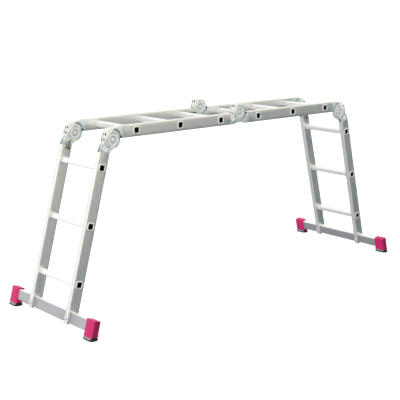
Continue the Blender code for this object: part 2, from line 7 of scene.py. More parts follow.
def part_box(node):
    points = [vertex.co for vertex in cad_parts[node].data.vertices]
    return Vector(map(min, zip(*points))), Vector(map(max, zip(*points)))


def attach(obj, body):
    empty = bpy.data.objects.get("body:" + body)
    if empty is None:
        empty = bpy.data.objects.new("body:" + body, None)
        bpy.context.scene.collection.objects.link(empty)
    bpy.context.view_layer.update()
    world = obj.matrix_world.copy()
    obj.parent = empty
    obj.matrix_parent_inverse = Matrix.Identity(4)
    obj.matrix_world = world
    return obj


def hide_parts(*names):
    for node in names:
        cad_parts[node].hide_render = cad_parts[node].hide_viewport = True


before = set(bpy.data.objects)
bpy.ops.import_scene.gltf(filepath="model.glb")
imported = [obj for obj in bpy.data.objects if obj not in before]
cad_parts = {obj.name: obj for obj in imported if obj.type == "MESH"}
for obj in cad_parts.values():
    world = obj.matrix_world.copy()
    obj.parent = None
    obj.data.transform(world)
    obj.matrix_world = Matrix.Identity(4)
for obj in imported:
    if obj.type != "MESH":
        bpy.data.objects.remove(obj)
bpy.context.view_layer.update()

# ---- Stiles ----
# The sides of every section are lengths of extruded aluminium box tube with rounded edges, left as they
# come from the die. Square holes are punched through for the rungs, and the lower end of a leg is sawn
# into a fork that straddles the stabiliser bar.

STILE_DEPTH = 0.060
STILE_THICK = 0.026
STILE_WALL = 0.002
STILE_CORNER = 0.004
RUNG_PITCH = 0.280
SECTION_LENGTH = 3 * RUNG_PITCH
LADDER_WIDTH = 0.336
LEG_TILT = math.radians(15)
HINGE_SETBACK = 0.068
PIVOT_OFFSET = 0.033
RUNG_HOLE = 0.0296
RUNG_HOLE_CORNER = 0.0063
BAR_AT = 0.8575
BAR_HEIGHT = 0.054
BAR_THICK = 0.028
LEG_END = 0.889
FORK_CORNER = 0.007
BOLT_AT = 0.863
BOLT_HOLE = 0.0045
FIT_GAP = 0.0003

SECTIONS = ("deck_left", "deck_right", "leg_left", "leg_right")
SIDES = {"near": -1, "far": 1}
SMOOTH_BELOW = math.radians(32)

deck_low, deck_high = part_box("deck_left_stile_near")
deck_height = (deck_low.z + deck_high.z) / 2
mirror_x = Matrix.Scale(-1, 4, (1, 0, 0))
leg_down = Vector((math.sin(LEG_TILT), 0, -math.cos(LEG_TILT)))
leg_out = Vector((math.cos(LEG_TILT), 0, math.sin(LEG_TILT)))
end_pivot = Vector((SECTION_LENGTH, 0, deck_height - PIVOT_OFFSET))
middle_pivot = Vector((0, 0, deck_height + PIVOT_OFFSET))


def standing(origin, along, depth):
    """A frame whose x runs along a part, y across the ladder and z through the part's depth."""
    turned = Matrix((along, Vector((0, 1, 0)), depth)).transposed().to_4x4()
    turned.translation = origin
    return turned


section_frame = {
    "deck_right": Matrix.Translation((0, 0, deck_height)),
    "leg_right": standing(end_pivot + leg_out * PIVOT_OFFSET, leg_down, leg_out),
}
section_frame["deck_left"] = mirror_x @ section_frame["deck_right"]
section_frame["leg_left"] = mirror_x @ section_frame["leg_right"]


def fresh(add, **size_and_place):
    """A new primitive, alone in the selection, with its size and place in its mesh."""
    bpy.ops.object.select_all(action="DESELECT")
    add(**size_and_place)
    bpy.ops.object.transform_apply(location=True, rotation=True, scale=True)
    return bpy.context.object


def block(low, high):
    middle = [(a + b) / 2 for a, b in zip(low, high)]
    size = [b - a for a, b in zip(low, high)]
    return fresh(bpy.ops.mesh.primitive_cube_add, size=1, location=middle, scale=size)


def drum(radius, low, high, at=(0, 0), vertices=96, top_radius=None):
    """A round bar along z; with a top radius it tapers."""
    return fresh(
        bpy.ops.mesh.primitive_cone_add,
        vertices=vertices,
        radius1=radius,
        radius2=radius if top_radius is None else top_radius,
        depth=high - low,
        location=(at[0], at[1], (low + high) / 2),
    )


def choose(piece, kind, test):
    """Edit mode on the piece, with only the faces, edges or points that pass the test selected."""
    bpy.ops.object.select_all(action="DESELECT")
    piece.select_set(True)
    bpy.context.view_layer.objects.active = piece
    bpy.ops.object.mode_set(mode="EDIT")
    bpy.ops.mesh.select_mode(type=kind)
    bpy.ops.mesh.select_all(action="DESELECT")
    bpy.ops.object.mode_set(mode="OBJECT")
    mesh = piece.data
    if kind == "FACE":
        for face in mesh.polygons:
            face.select = test(face.center, face.normal)
    elif kind == "EDGE":
        for edge in mesh.edges:
            ends = [mesh.vertices[i].co for i in edge.vertices]
            edge.select = test(*ends)
    else:
        for point in mesh.vertices:
            point.select = test(point.co)
    bpy.ops.object.mode_set(mode="EDIT")


def edited(piece):
    bpy.ops.object.mode_set(mode="OBJECT")
    return piece


def rounded(piece, kind_of_edge, radius, segments=5):
    """Rounds the edges that pass the test."""
    choose(piece, "EDGE", kind_of_edge)
    bpy.ops.mesh.bevel(offset=radius, segments=segments, affect="EDGES", clamp_overlap=True)
    return edited(piece)


def runs_along(axis):
    return lambda a, b: all(abs(a[i] - b[i]) < 1e-6 for i in range(3) if i != axis)


def shaped(piece, kind, **settings):
    """Adds a modifier, sets it and applies it."""
    bpy.ops.object.select_all(action="DESELECT")
    bpy.context.view_layer.objects.active = piece
    piece.select_set(True)
    made = piece.modifiers.new(kind, kind)
    for name, value in settings.items():
        setattr(made, name, value)
    bpy.ops.object.modifier_apply(modifier=made.name)
    return piece


def worked(piece, operation, *others):
    """Cuts the other shapes out of the piece, adds them to it, or keeps what they share."""
    for other in others:
        shaped(piece, "BOOLEAN", operation=operation, solver="EXACT", object=other)
        bpy.data.objects.remove(other, do_unlink=True)
    return piece


def trimmed(piece, point, outwards):
    """Saws the piece along a plane and throws away what is on the outward side."""
    choose(piece, "FACE", lambda centre, normal: True)
    bpy.ops.mesh.bisect(plane_co=point, plane_no=outwards, use_fill=True, clear_outer=True)
    return edited(piece)


def softened(piece, width, segments=2, above=40):
    """Breaks the sharp edges that a saw or a press leaves."""
    return shaped(
        piece,
        "BEVEL",
        width=width,
        segments=segments,
        limit_method="ANGLE",
        angle_limit=math.radians(above),
        harden_normals=False,
    )


def smoothed(piece):
    bpy.ops.object.select_all(action="DESELECT")
    bpy.context.view_layer.objects.active = piece
    piece.select_set(True)
    bpy.ops.object.shade_smooth_by_angle(angle=SMOOTH_BELOW)
    return piece


def box_tube(length, thick, depth, corner, wall, start=0.0):
    """Box tube along x, with rounded edges and an even wall."""
    tube = block((start, -thick / 2, -depth / 2), (start + length, thick / 2, depth / 2))
    choose(tube, "FACE", lambda centre, normal: abs(normal.x) > 0.9)
    bpy.ops.mesh.delete(type="ONLY_FACE")
    edited(tube)
    rounded(tube, runs_along(0), corner)
    return shaped(tube, "SOLIDIFY", thickness=wall, offset=-1, use_even_offset=True)


def square_bar(width, corner, at, half_length):
    """A rounded square bar across the ladder, as the punch for a rung hole."""
    bar = block(
        (at - width / 2, -half_length, -width / 2), (at + width / 2, half_length, width / 2)
    )
    return rounded(bar, runs_along(1), corner)


def fitted(shape, name, place, body, finish, slot, *nodes):
    """A copy of a finished shape, set in its place on its body, in place of its frame nodes."""
    piece = shape.copy()
    piece.data = shape.data.copy()
    piece.name = name
    bpy.context.scene.collection.objects.link(piece)
    piece.data.transform(place)
    if place.determinant() < 0:
        piece.data.flip_normals()
    for each in finish if isinstance(finish, tuple) else (finish,):
        piece.data.materials.append(each)
    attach(piece, body)
    if nodes:
        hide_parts(*nodes)
    return piece


def coated(piece, choice):
    """Numbers each face's finish from its centre and normal."""
    for face in piece.data.polygons:
        face.material_index = int(choice(face.center, face.normal))
    return piece


def put_away(*shapes):
    """Removes the shapes that copies were made from."""
    for shape in shapes:
        bpy.data.objects.remove(shape, do_unlink=True)


class Signal:
    """A shader socket that takes part in Python sums."""

    def __init__(self, finish, socket):
        self.finish = finish
        self.socket = socket

    def maths(self, operation, first, second):
        return self.finish.node("ShaderNodeMath", {"operation": operation}, {0: first, 1: second})

    def __add__(self, other):
        return self.maths("ADD", self, other)

    def __sub__(self, other):
        return self.maths("SUBTRACT", self, other)

    def __rsub__(self, other):
        return self.maths("SUBTRACT", other, self)

    def __mul__(self, other):
        return self.maths("MULTIPLY", self, other)

    __radd__ = __add__
    __rmul__ = __mul__


class Nodes:
    """A node tree, and the ways nodes are added to it."""

    def __init__(self, tree, shader):
        self.tree = tree
        self.shader = tree.nodes[shader]

    def put(self, socket, value):
        if isinstance(value, Signal):
            self.tree.links.new(value.socket, self.shader.inputs[socket])
        else:
            self.shader.inputs[socket].default_value = value

    def node(self, kind, settings, values, output=0):
        """Any node: its settings, then the values or links of its sockets."""
        made = self.tree.nodes.new(kind)
        for name, value in settings.items():
            if name == "stops":
                ramp = made.color_ramp
                while len(ramp.elements) < len(value):
                    ramp.elements.new(0.5)
                for element, (place, shade) in zip(ramp.elements, value):
                    element.position = place
                    element.color = (shade, shade, shade, 1.0)
            else:
                setattr(made, name, value)
        for socket, value in values.items():
            if isinstance(value, Signal):
                self.tree.links.new(value.socket, made.inputs[socket])
            else:
                made.inputs[socket].default_value = value
        return Signal(self, made.outputs[output])

    def steps(self, value, *stops):
        return self.node("ShaderNodeValToRGB", {"stops": stops}, {"Fac": value})

    def blended(self, amount, first, second):
        """A colour between two colours."""
        values = {0: amount}
        for socket, colour in ((6, first), (7, second)):
            values[socket] = colour if isinstance(colour, Signal) else (*colour, 1.0)
        return self.node("ShaderNodeMix", {"data_type": "RGBA"}, values, 2)


class Finish(Nodes):
    """One surface finish: a material, and the nodes that vary it over the surface."""

    def __init__(self, name, colour, roughness, metallic, **more):
        self.material = bpy.data.materials.new(name)
        self.material.use_nodes = True
        super().__init__(self.material.node_tree, "Principled BSDF")
        self.put("Base Color", (*colour, 1.0))
        self.put("Roughness", roughness)
        self.put("Metallic", metallic)
        for socket, value in more.items():
            self.put(socket.replace("_", " "), value)

    def place(self, turn=(0, 0, 0), scale=(1, 1, 1)):
        """Object coordinates, turned to lie along a part and stretched."""
        at = self.node("ShaderNodeTexCoord", {}, {}, "Object")
        turned = self.node(
            "ShaderNodeMapping", {"vector_type": "TEXTURE"}, {"Vector": at, "Rotation": turn}
        )
        return self.node("ShaderNodeVectorMath", {"operation": "MULTIPLY"}, {0: turned, 1: scale})

    def noise(self, at, scale, detail=3.0, roughness=0.55):
        values = {"Vector": at, "Scale": scale, "Detail": detail, "Roughness": roughness}
        return self.node("ShaderNodeTexNoise", {}, values)

    def relief(self, height, distance, strength=1.0):
        values = {"Height": height, "Distance": distance, "Strength": strength}
        self.put("Normal", self.node("ShaderNodeBump", {}, values))


def lean(section):
    """How far a section's length is turned from level, about the axis across the ladder."""
    if section.startswith("deck"):
        return 0.0
    turn = math.pi / 2 - LEG_TILT
    return math.pi - turn if section.endswith("left") else turn


def mill_aluminium(name, bright, dull, roughness, turn, lines=(2.0, 700.0, 700.0), metallic=0.92):
    """Extruded aluminium: die lines along its length, uneven oxide and rubbed patches."""
    made = Finish(name, bright, roughness, metallic)
    drawn = made.place((0, turn, 0), lines)
    die_lines = made.noise(drawn, 1.0, 2.0)
    plain = made.place((0, turn, 0), (0.5, 1.0, 1.0))
    oxide = made.steps(made.noise(plain, 9.0, 4.0), (0.35, 0.0), (0.68, 1.0))
    rubbed = made.steps(made.noise(plain, 46.0, 5.0, 0.65), (0.52, 0.0), (0.70, 1.0))
    made.put("Base Color", made.blended(oxide * 0.55 + die_lines * 0.35, bright, dull))
    made.put("Roughness", roughness - 0.06 + oxide * 0.09 + die_lines * 0.08 - rubbed * 0.07)
    made.relief(die_lines + rubbed * 0.3, 0.00006, 0.5)
    return made.material


def stile(is_leg):
    """A stile along x from its section's first hinge axis, with its rung holes and, on a leg, its fork."""
    end = LEG_END if is_leg else SECTION_LENGTH - HINGE_SETBACK
    tube = box_tube(
        end - HINGE_SETBACK, STILE_THICK, STILE_DEPTH, STILE_CORNER, STILE_WALL, HINGE_SETBACK
    )
    for number in range(3):
        at = (number + 0.5) * RUNG_PITCH
        worked(tube, "DIFFERENCE", square_bar(RUNG_HOLE, RUNG_HOLE_CORNER, at, STILE_THICK))
    if is_leg:
        just_clear = STILE_DEPTH / 2 + 0.00001
        outline = block((0, -STILE_THICK, -just_clear), (LEG_END, STILE_THICK, just_clear))
        across_the_end = lambda a, b: runs_along(1)(a, b) and a.x > LEG_END - 0.001
        worked(tube, "INTERSECT", rounded(outline, across_the_end, FORK_CORNER))
        top = BAR_AT - BAR_HEIGHT / 2 - FIT_GAP
        gap = BAR_THICK / 2 + FIT_GAP
        fork = block((top, -STILE_THICK, -gap), (LEG_END + 0.01, STILE_THICK, gap))
        bolt_hole = drum(BOLT_HOLE, -STILE_DEPTH, STILE_DEPTH, (BOLT_AT, 0), 32)
        worked(tube, "DIFFERENCE", fork, bolt_hole)
    return smoothed(tube)


stile_shapes = {"deck": stile(False), "leg": stile(True)}
for section in SECTIONS:
    finish = mill_aluminium(
        f"{section}_stile_mill_finish", (0.90, 0.89, 0.87), (0.74, 0.735, 0.71), 0.33, lean(section)
    )
    for side, toward in SIDES.items():
        offset = Matrix.Translation((0, toward * (LADDER_WIDTH - STILE_THICK) / 2, 0))
        fitted(
            stile_shapes[section.split("_")[0]],
            f"{section}_{side}_box_tube",
            section_frame[section] @ offset,
            section,
            finish,
            "stile_aluminium",
            f"{section}_stile_{side}",
        )
put_away(*stile_shapes.values())

# ---- Rungs ----
# A rung is a square aluminium tube pushed through both stiles. Its ends are rolled over outside them into
# a bead that grips the punched hole. The bore stays open, and its inside is painted near-black as painted
# shade, so each end is a bright ring round a dark hole.

RUNG_SIZE = 0.029
RUNG_CORNER = 0.006
RUNG_BORE = 0.0258
BEAD_SIZE = 0.040
BEAD_FROM = LADDER_WIDTH / 2 + FIT_GAP
BEAD_TO = BEAD_FROM + 0.0031

BEAD_ROLL = (
    (RUNG_SIZE, BEAD_FROM),
    (BEAD_SIZE - 0.0012, BEAD_FROM),
    (BEAD_SIZE - 0.0003, BEAD_FROM + 0.0004),
    (BEAD_SIZE, BEAD_FROM + 0.0011),
    (BEAD_SIZE - 0.0006, BEAD_FROM + 0.0019),
    (BEAD_SIZE - 0.0022, BEAD_FROM + 0.0026),
    (BEAD_SIZE - 0.0046, BEAD_FROM + 0.0030),
    (BEAD_SIZE - 0.0076, BEAD_TO),
    (RUNG_BORE + 0.0030, BEAD_FROM + 0.0028),
    (RUNG_BORE + 0.0011, BEAD_FROM + 0.0020),
    (RUNG_BORE, BEAD_FROM + 0.0008),
    (RUNG_BORE, BEAD_FROM - 0.0090),
)


def choose_open_edges(piece):
    choose(piece, "EDGE", lambda a, b: False)
    bpy.ops.mesh.select_non_manifold(
        extend=False, use_wire=False, use_multi_face=False, use_non_contiguous=False, use_verts=False
    )


def rolled_rung():
    """A square tube whose two ends are drawn out together, ring by ring, along the roll's line."""
    half = LADDER_WIDTH / 2 - STILE_THICK
    size = RUNG_SIZE / 2
    tube = block((-size, -half, -size), (size, half, size))
    choose(tube, "FACE", lambda centre, normal: abs(normal.y) > 0.9)
    bpy.ops.mesh.delete(type="ONLY_FACE")
    edited(tube)
    rounded(tube, runs_along(1), RUNG_CORNER, 6)
    width, reach = RUNG_SIZE, half
    for new_width, new_reach in BEAD_ROLL:
        choose_open_edges(tube)
        bpy.ops.mesh.extrude_edges_move()
        grow = new_width / width
        bpy.ops.transform.resize(
            value=(grow, new_reach / reach, grow), center_override=(0, 0, 0)
        )
        edited(tube)
        width, reach = new_width, new_reach
    choose_open_edges(tube)
    bpy.ops.mesh.bridge_edge_loops()
    bpy.ops.mesh.select_all(action="SELECT")
    bpy.ops.mesh.normals_make_consistent(inside=False)
    edited(tube)
    bore = RUNG_BORE / 2 + 0.0001

    def in_bore(centre, normal):
        return max(abs(centre.x), abs(centre.z)) < bore and abs(centre.y) < BEAD_FROM

    # Faces inside the bore take the second finish, near-black painted shade.
    return smoothed(coated(tube, in_bore))


def bore_painted_shade():
    """The inside of a drawn tube, painted near-black as painted shade, with a faint dark mottle."""
    made = Finish("rung_bore_painted_shade", (0.012, 0.012, 0.013), 0.8, 0.2, Specular_IOR_Level=0.2)
    shade_mottle = made.noise(made.place(), 240.0, 4.0)
    made.put("Base Color", made.blended(shade_mottle, (0.006, 0.006, 0.007), (0.030, 0.030, 0.032)))
    made.put("Roughness", 0.7 + shade_mottle * 0.2)
    made.relief(shade_mottle, 0.00005, 0.5)
    return made.material


rung_shape = rolled_rung()
rung_finish = mill_aluminium(
    "rung_drawn_tube", (0.96, 0.96, 0.96), (0.86, 0.86, 0.855), 0.30, 0.0, (700.0, 2.0, 700.0), 0.75
)
# Near-black finish for the inside of the bore: painted shade.
rung_bore_shade_finish = bore_painted_shade()
for section in SECTIONS:
    for number in (1, 2, 3):
        along = Matrix.Translation(((number - 0.5) * RUNG_PITCH, 0, 0))
        fitted(
            rung_shape,
            f"{section}_rolled_rung_{number}",
            section_frame[section] @ along,
            section,
            (rung_finish, rung_bore_shade_finish),
            "rung_aluminium",
            f"{section}_rung_{number}",
        )
put_away(rung_shape)

# ---- Stabiliser bars ----
# Each leg stands on a wide bar of box tube that lies in the forks of its stiles. It is the same alloy with
# a duller, cooler skin, painted lighter on top as a painted highlight, with two fine die grooves along
# each face and a drain hole.

BAR_LENGTH = 0.700
BAR_CORNER = 0.004
BAR_WALL = 0.002
GROOVE_WIDTH = 0.0014
GROOVE_DEPTH = 0.0006
GROOVE_LINES = (-0.0165, 0.0165)
DRAIN_AT = (0.247, -0.008)
DRAIN_RADIUS = 0.0028


def stabiliser_bar():
    """The bar along x, its height along y and its thickness along z, with its top towards +y."""
    bar = box_tube(
        BAR_LENGTH, BAR_HEIGHT, BAR_THICK, BAR_CORNER, BAR_WALL, -BAR_LENGTH / 2
    )
    for line in GROOVE_LINES:
        for face in (-1, 1):
            surface = face * BAR_THICK / 2
            groove = block(
                (-BAR_LENGTH, line - GROOVE_WIDTH / 2, surface - GROOVE_DEPTH),
                (BAR_LENGTH, line + GROOVE_WIDTH / 2, surface + GROOVE_DEPTH),
            )
            worked(bar, "DIFFERENCE", groove)
    stile_at = (LADDER_WIDTH - STILE_THICK) / 2
    for at in ((-stile_at, BAR_AT - BOLT_AT), (stile_at, BAR_AT - BOLT_AT)):
        worked(bar, "DIFFERENCE", drum(BOLT_HOLE, -BAR_THICK, BAR_THICK, at, 32))
    worked(bar, "DIFFERENCE", drum(DRAIN_RADIUS, -BAR_THICK, BAR_THICK, DRAIN_AT, 32))
    # The top face and its rounded edges take the second, lighter finish: a painted highlight.
    coated(bar, lambda centre, normal: normal.y > 0.25 and centre.y > BAR_HEIGHT / 2 - BAR_CORNER)
    return smoothed(bar)


bar_shape = stabiliser_bar()
across_leg = Matrix.Translation((BAR_AT, 0, 0)) @ Matrix.Rotation(math.pi / 2, 4, "Z")
bar_frame = {leg: section_frame[leg] @ across_leg for leg in ("leg_left", "leg_right")}
bar_centre = bar_frame["leg_right"].translation
bar_finish = mill_aluminium(
    "bar_satin_anodised", (0.50, 0.51, 0.53), (0.39, 0.40, 0.415), 0.36, 0.0, (600.0, 2.0, 600.0), 0.92
)
# A lighter copy of the bar's finish for its top face: painted highlight.
bar_painted_highlight = mill_aluminium(
    "bar_painted_highlight_top", (0.96, 0.96, 0.97), (0.88, 0.88, 0.89), 0.30, 0.0, (600.0, 2.0, 600.0), 0.7
)
for leg, place in bar_frame.items():
    fitted(
        bar_shape,
        f"{leg}_bar_tube",
        place,
        leg,
        (bar_finish, bar_painted_highlight),
        "bar_aluminium",
        f"{leg}_stabiliser_bar",
    )
put_away(bar_shape)

# ---- End caps ----
# A cup of tough coloured plastic is pushed over each end of a bar. It is a crisp box, cut level above the
# floor, whose last few millimetres flare into a skirt. Its skin is finely textured, and its end face is
# painted darker as painted shade.

CAP_HEIGHT = 0.066
CAP_THICK = 0.034
CAP_MOUTH = 0.293
CAP_END = 0.356
CAP_EDGE = 0.0016
CAP_LEVEL = 0.0155
SKIRT_HEIGHT = 0.0085
SKIRT_WIDER = 1.15
SKIRT_LONGER = 1.07
POCKET_HEIGHT = 0.0546
POCKET_THICK = 0.0286


def end_cap():
    """A cap along x with its height along y; up is leant over because the leg is."""
    up = Vector((0, math.cos(LEG_TILT), math.sin(LEG_TILT)))
    middle = Vector(((CAP_MOUTH + CAP_END) / 2, 0, 0))
    base = middle + Vector((0, (CAP_LEVEL - bar_centre.z) / up.y, 0))
    cup = block((CAP_MOUTH, -CAP_HEIGHT, -CAP_THICK / 2), (CAP_END, CAP_HEIGHT / 2, CAP_THICK / 2))
    trimmed(cup, base, -up)
    choose(cup, "FACE", lambda centre, normal: True)
    bpy.ops.mesh.bisect(plane_co=base + up * SKIRT_HEIGHT, plane_no=up)
    edited(cup)
    choose(cup, "VERT", lambda point: (point - base).dot(up) < 0.001)
    bpy.ops.transform.resize(
        value=(SKIRT_LONGER, SKIRT_WIDER, SKIRT_WIDER), center_override=base
    )
    edited(cup)
    softened(cup, CAP_EDGE, 4, 50)
    pocket = block(
        (-CAP_END, -POCKET_HEIGHT / 2, -POCKET_THICK / 2),
        (BAR_LENGTH / 2 + FIT_GAP, POCKET_HEIGHT / 2, POCKET_THICK / 2),
    )
    worked(cup, "DIFFERENCE", pocket)
    # The end face takes the second, darker finish: painted shade.
    return smoothed(coated(cup, lambda centre, normal: normal.x > 0.7))


def moulded_plastic(name, deep, light):
    """Tough plastic with a fine spark-eroded texture, slightly paler where it is scuffed."""
    made = Finish(name, deep, 0.40, 0.0, Specular_IOR_Level=0.3)
    at = made.place()
    grain = made.noise(at, 2600.0, 2.0)
    cloud = made.noise(at, 28.0, 3.0)
    scuffs = made.steps(made.noise(at, 160.0, 6.0, 0.7), (0.60, 0.0), (0.74, 1.0))
    tone = made.blended(cloud, deep, light)
    made.put("Base Color", made.blended(scuffs * 0.35, tone, (0.78, 0.18, 0.36)))
    made.put("Roughness", 0.34 + grain * 0.10 + scuffs * 0.15)
    made.relief(grain + scuffs * 0.5, 0.00008, 0.5)
    return made.material


cap_shape = end_cap()
cap_finish = moulded_plastic("cap_magenta_plastic", (0.49, 0.003, 0.105), (0.55, 0.008, 0.140))
# A darker copy of the cap plastic for the end face: painted shade.
cap_end_shade_finish = moulded_plastic("cap_end_painted_shade", (0.26, 0.002, 0.055), (0.31, 0.004, 0.070))
for leg, place in bar_frame.items():
    for side in SIDES:
        turn = mirror_x if side == "near" else Matrix.Identity(4)
        fitted(
            cap_shape,
            f"{leg}_{side}_moulded_cap",
            place @ turn,
            leg,
            (cap_finish, cap_end_shade_finish),
            "cap_plastic",
            f"{leg}_end_cap_{side}",
        )
put_away(cap_shape)

# ---- Rubber feet ----
# Under each cap sits a low pad of black rubber, wider and longer than the cap, with strongly rounded ends
# and grooves across its sole. The upward slopes along its two long sides are painted grey as a painted
# highlight.

FOOT_HEIGHT = 0.0152
FOOT_LENGTH = 0.074
FOOT_WIDTH = 0.0455
FOOT_TOP = (0.0352, 0.065)
FOOT_CORNER = 0.017
FOOT_SOLE = 0.0065
SOLE_PROUD = 0.0005
FOOT_EDGE = 0.0007
TREAD_GROOVES = 7
TREAD_PITCH = 0.0088
TREAD_WIDTH = 0.0026
TREAD_DEPTH = 0.0022


def under_bar(height):
    """The middle of the right leg's far cap, carried down the leg to a height above the floor."""
    down = leg_down * ((bar_centre.z - height) / -leg_down.z)
    return bar_centre + down + Vector((0, (CAP_MOUTH + CAP_END) / 2, 0))


def rubber_foot():
    """The foot of the right leg's far end, in its place."""
    x, y = FOOT_WIDTH / 2, FOOT_LENGTH / 2
    middle = under_bar(FOOT_HEIGHT / 2)
    foot = block((middle.x - x, middle.y - y, 0), (middle.x + x, middle.y + y, FOOT_HEIGHT))
    rounded(foot, runs_along(2), FOOT_CORNER, 10)
    choose(foot, "FACE", lambda centre, normal: True)
    bpy.ops.mesh.bisect(plane_co=(0, 0, FOOT_SOLE), plane_no=(0, 0, 1))
    edited(foot)
    choose(foot, "VERT", lambda point: point.z > FOOT_HEIGHT - 1e-5)
    bpy.ops.transform.resize(
        value=(FOOT_TOP[0] / FOOT_WIDTH, FOOT_TOP[1] / FOOT_LENGTH, 1), center_override=middle
    )
    bpy.ops.transform.translate(value=(under_bar(FOOT_HEIGHT).x - middle.x, 0, 0))
    edited(foot)
    choose(foot, "FACE", lambda centre, normal: centre.z < FOOT_SOLE and abs(normal.z) < 0.1)
    bpy.ops.mesh.extrude_region_shrink_fatten(
        MESH_OT_extrude_region={}, TRANSFORM_OT_shrink_fatten={"value": SOLE_PROUD}
    )
    edited(foot)
    softened(foot, FOOT_EDGE, 3, 30)
    for number in range(TREAD_GROOVES):
        at = middle.y + (number - (TREAD_GROOVES - 1) / 2) * TREAD_PITCH
        start = (middle.x - FOOT_WIDTH, at - TREAD_WIDTH / 2, -0.01)
        finish = (middle.x + FOOT_WIDTH, at + TREAD_WIDTH / 2, TREAD_DEPTH)
        worked(foot, "DIFFERENCE", block(start, finish))
    # Upward slopes on the long sides take the grey second finish: a painted highlight.
    coated(foot, lambda _, normal: normal.z > 0.2 and abs(normal.x) > 0.45 and abs(normal.y) < 0.35)
    return smoothed(foot)


def moulded_rubber(name, clean, dusty):
    """Matt rubber with mould texture, and a little floor dust in the low spots."""
    made = Finish(name, clean, 0.7, 0.0, Specular_IOR_Level=0.25)
    at = made.place()
    grain = made.noise(at, 1500.0, 3.0)
    dust = made.steps(made.noise(at, 70.0, 5.0, 0.7), (0.52, 0.0), (0.80, 1.0))
    made.put("Base Color", made.blended(dust * 0.5, clean, dusty))
    made.put("Roughness", 0.46 + grain * 0.14 + dust * 0.18)
    made.relief(grain, 0.00012, 0.6)
    return made.material


foot_shape = rubber_foot()
foot_finish = moulded_rubber("foot_black_rubber", (0.007, 0.008, 0.009), (0.030, 0.032, 0.034))
# Grey rubber for the upward slopes: painted highlight.
foot_slope_highlight_finish = moulded_rubber("foot_slope_painted_highlight", (0.24, 0.25, 0.26), (0.34, 0.35, 0.36))
mirror_y = Matrix.Scale(-1, 4, (0, 1, 0))
for leg in bar_frame:
    for side in SIDES:
        whole = mirror_x if leg == "leg_left" else Matrix.Identity(4)
        turn = mirror_y if side == "near" else Matrix.Identity(4)
        fitted(
            foot_shape,
            f"{leg}_{side}_rubber_foot",
            whole @ turn,
            leg,
            (foot_finish, foot_slope_highlight_finish),
            "foot_rubber",
            f"{leg}_foot_{side}",
        )
put_away(foot_shape)

# ---- Bar bolts ----
# One bright zinc-plated bolt through each fork holds the bar: a hexagon head on a washer outside, and a
# locknut on a washer inside.

FORK_FACE = STILE_DEPTH / 2 + 0.0002
WASHER = 0.0016
WASHER_RADIUS = 0.0095
HEX_RADIUS = 0.0077
HEAD_HEIGHT = 0.0050
NUT_HEIGHT = 0.0036
NUT_COLLAR = (0.0058, 0.0030, 0.0050)
BOLT_RADIUS = 0.0040
WASHER_EDGE = 0.0003
HEX_EDGE = 0.0007
COLLAR_EDGE = 0.0006


def as_one(first, *others):
    """Several shapes made into one object."""
    bpy.ops.object.select_all(action="DESELECT")
    for shape in (first, *others):
        shape.select_set(True)
    bpy.context.view_layer.objects.active = first
    bpy.ops.object.join()
    return first


def hexagon(radius, low, high):
    """A hexagon head or nut with its outer corners turned off."""
    head = drum(radius, low, high, vertices=6)
    outer = high if abs(high) > abs(low) else low
    return rounded(head, lambda a, b: abs(a.z - outer) + abs(b.z - outer) < 1e-5, HEX_EDGE, 2)


def bar_bolt():
    """Washer and head on one side of the fork, washer, nut and the nut's locking collar on the other."""
    washer = FORK_FACE + WASHER
    radius, low, high = NUT_COLLAR
    parts = [softened(drum(WASHER_RADIUS, FORK_FACE, washer, vertices=48), WASHER_EDGE)]
    parts.append(softened(drum(WASHER_RADIUS, -washer, -FORK_FACE, vertices=48), WASHER_EDGE))
    parts.append(hexagon(HEX_RADIUS, washer, washer + HEAD_HEIGHT))
    parts.append(hexagon(HEX_RADIUS, -washer - NUT_HEIGHT, -washer))
    parts.append(softened(drum(radius, -washer - high, -washer - low, vertices=48), COLLAR_EDGE))
    parts.append(drum(BOLT_RADIUS, -washer - 0.0040, washer + 0.001, vertices=32))
    return smoothed(as_one(*parts))


def zinc_plate(name, colour, shade, roughness, metallic=0.8, spangle=120.0):
    """Zinc-plated steel: a soft crystal mottle, fine brushing from the press and rubbed high spots."""
    made = Finish(name, colour, roughness, metallic)
    at = made.place()
    values = {"Vector": at, "Scale": spangle, "Smoothness": 0.6}
    crystals = made.node("ShaderNodeTexVoronoi", {"feature": "SMOOTH_F1"}, values)
    clouds = made.steps(made.noise(at, 55.0, 5.0, 0.6), (0.36, 0.0), (0.66, 1.0))
    fine = made.noise(at, 1400.0, 2.0)
    made.put("Base Color", made.blended(clouds * 0.7 + crystals * 0.3, colour, shade))
    made.put("Roughness", roughness - 0.07 + clouds * 0.12 + fine * 0.06)
    made.relief(fine + crystals * 0.4, 0.00003, 0.25)
    return made.material


bolt_shape = bar_bolt()
bolt_finish = zinc_plate("bolt_bright_zinc", (0.86, 0.87, 0.88), (0.70, 0.71, 0.72), 0.26, 0.95)
for leg in bar_frame:
    for side, toward in SIDES.items():
        at = Matrix.Translation((BOLT_AT, toward * (LADDER_WIDTH - STILE_THICK) / 2, 0))
        fitted(
            bolt_shape,
            f"{leg}_{side}_bolt_and_locknut",
            section_frame[leg] @ at,
            leg,
            bolt_finish,
            "bolt_steel",
            f"{leg}_bar_bolt_{side}",
        )
put_away(bolt_shape)

# ---- Hinge brackets: the outer half ----
# Two pressed steel plates, zinc-plated and riveted into the stile, hold the locking discs between them.
# Each has a raised ring and a dish round the pivot and a round boss over its rivets; the plates of an end
# hinge and a middle hinge are cut to different outlines.

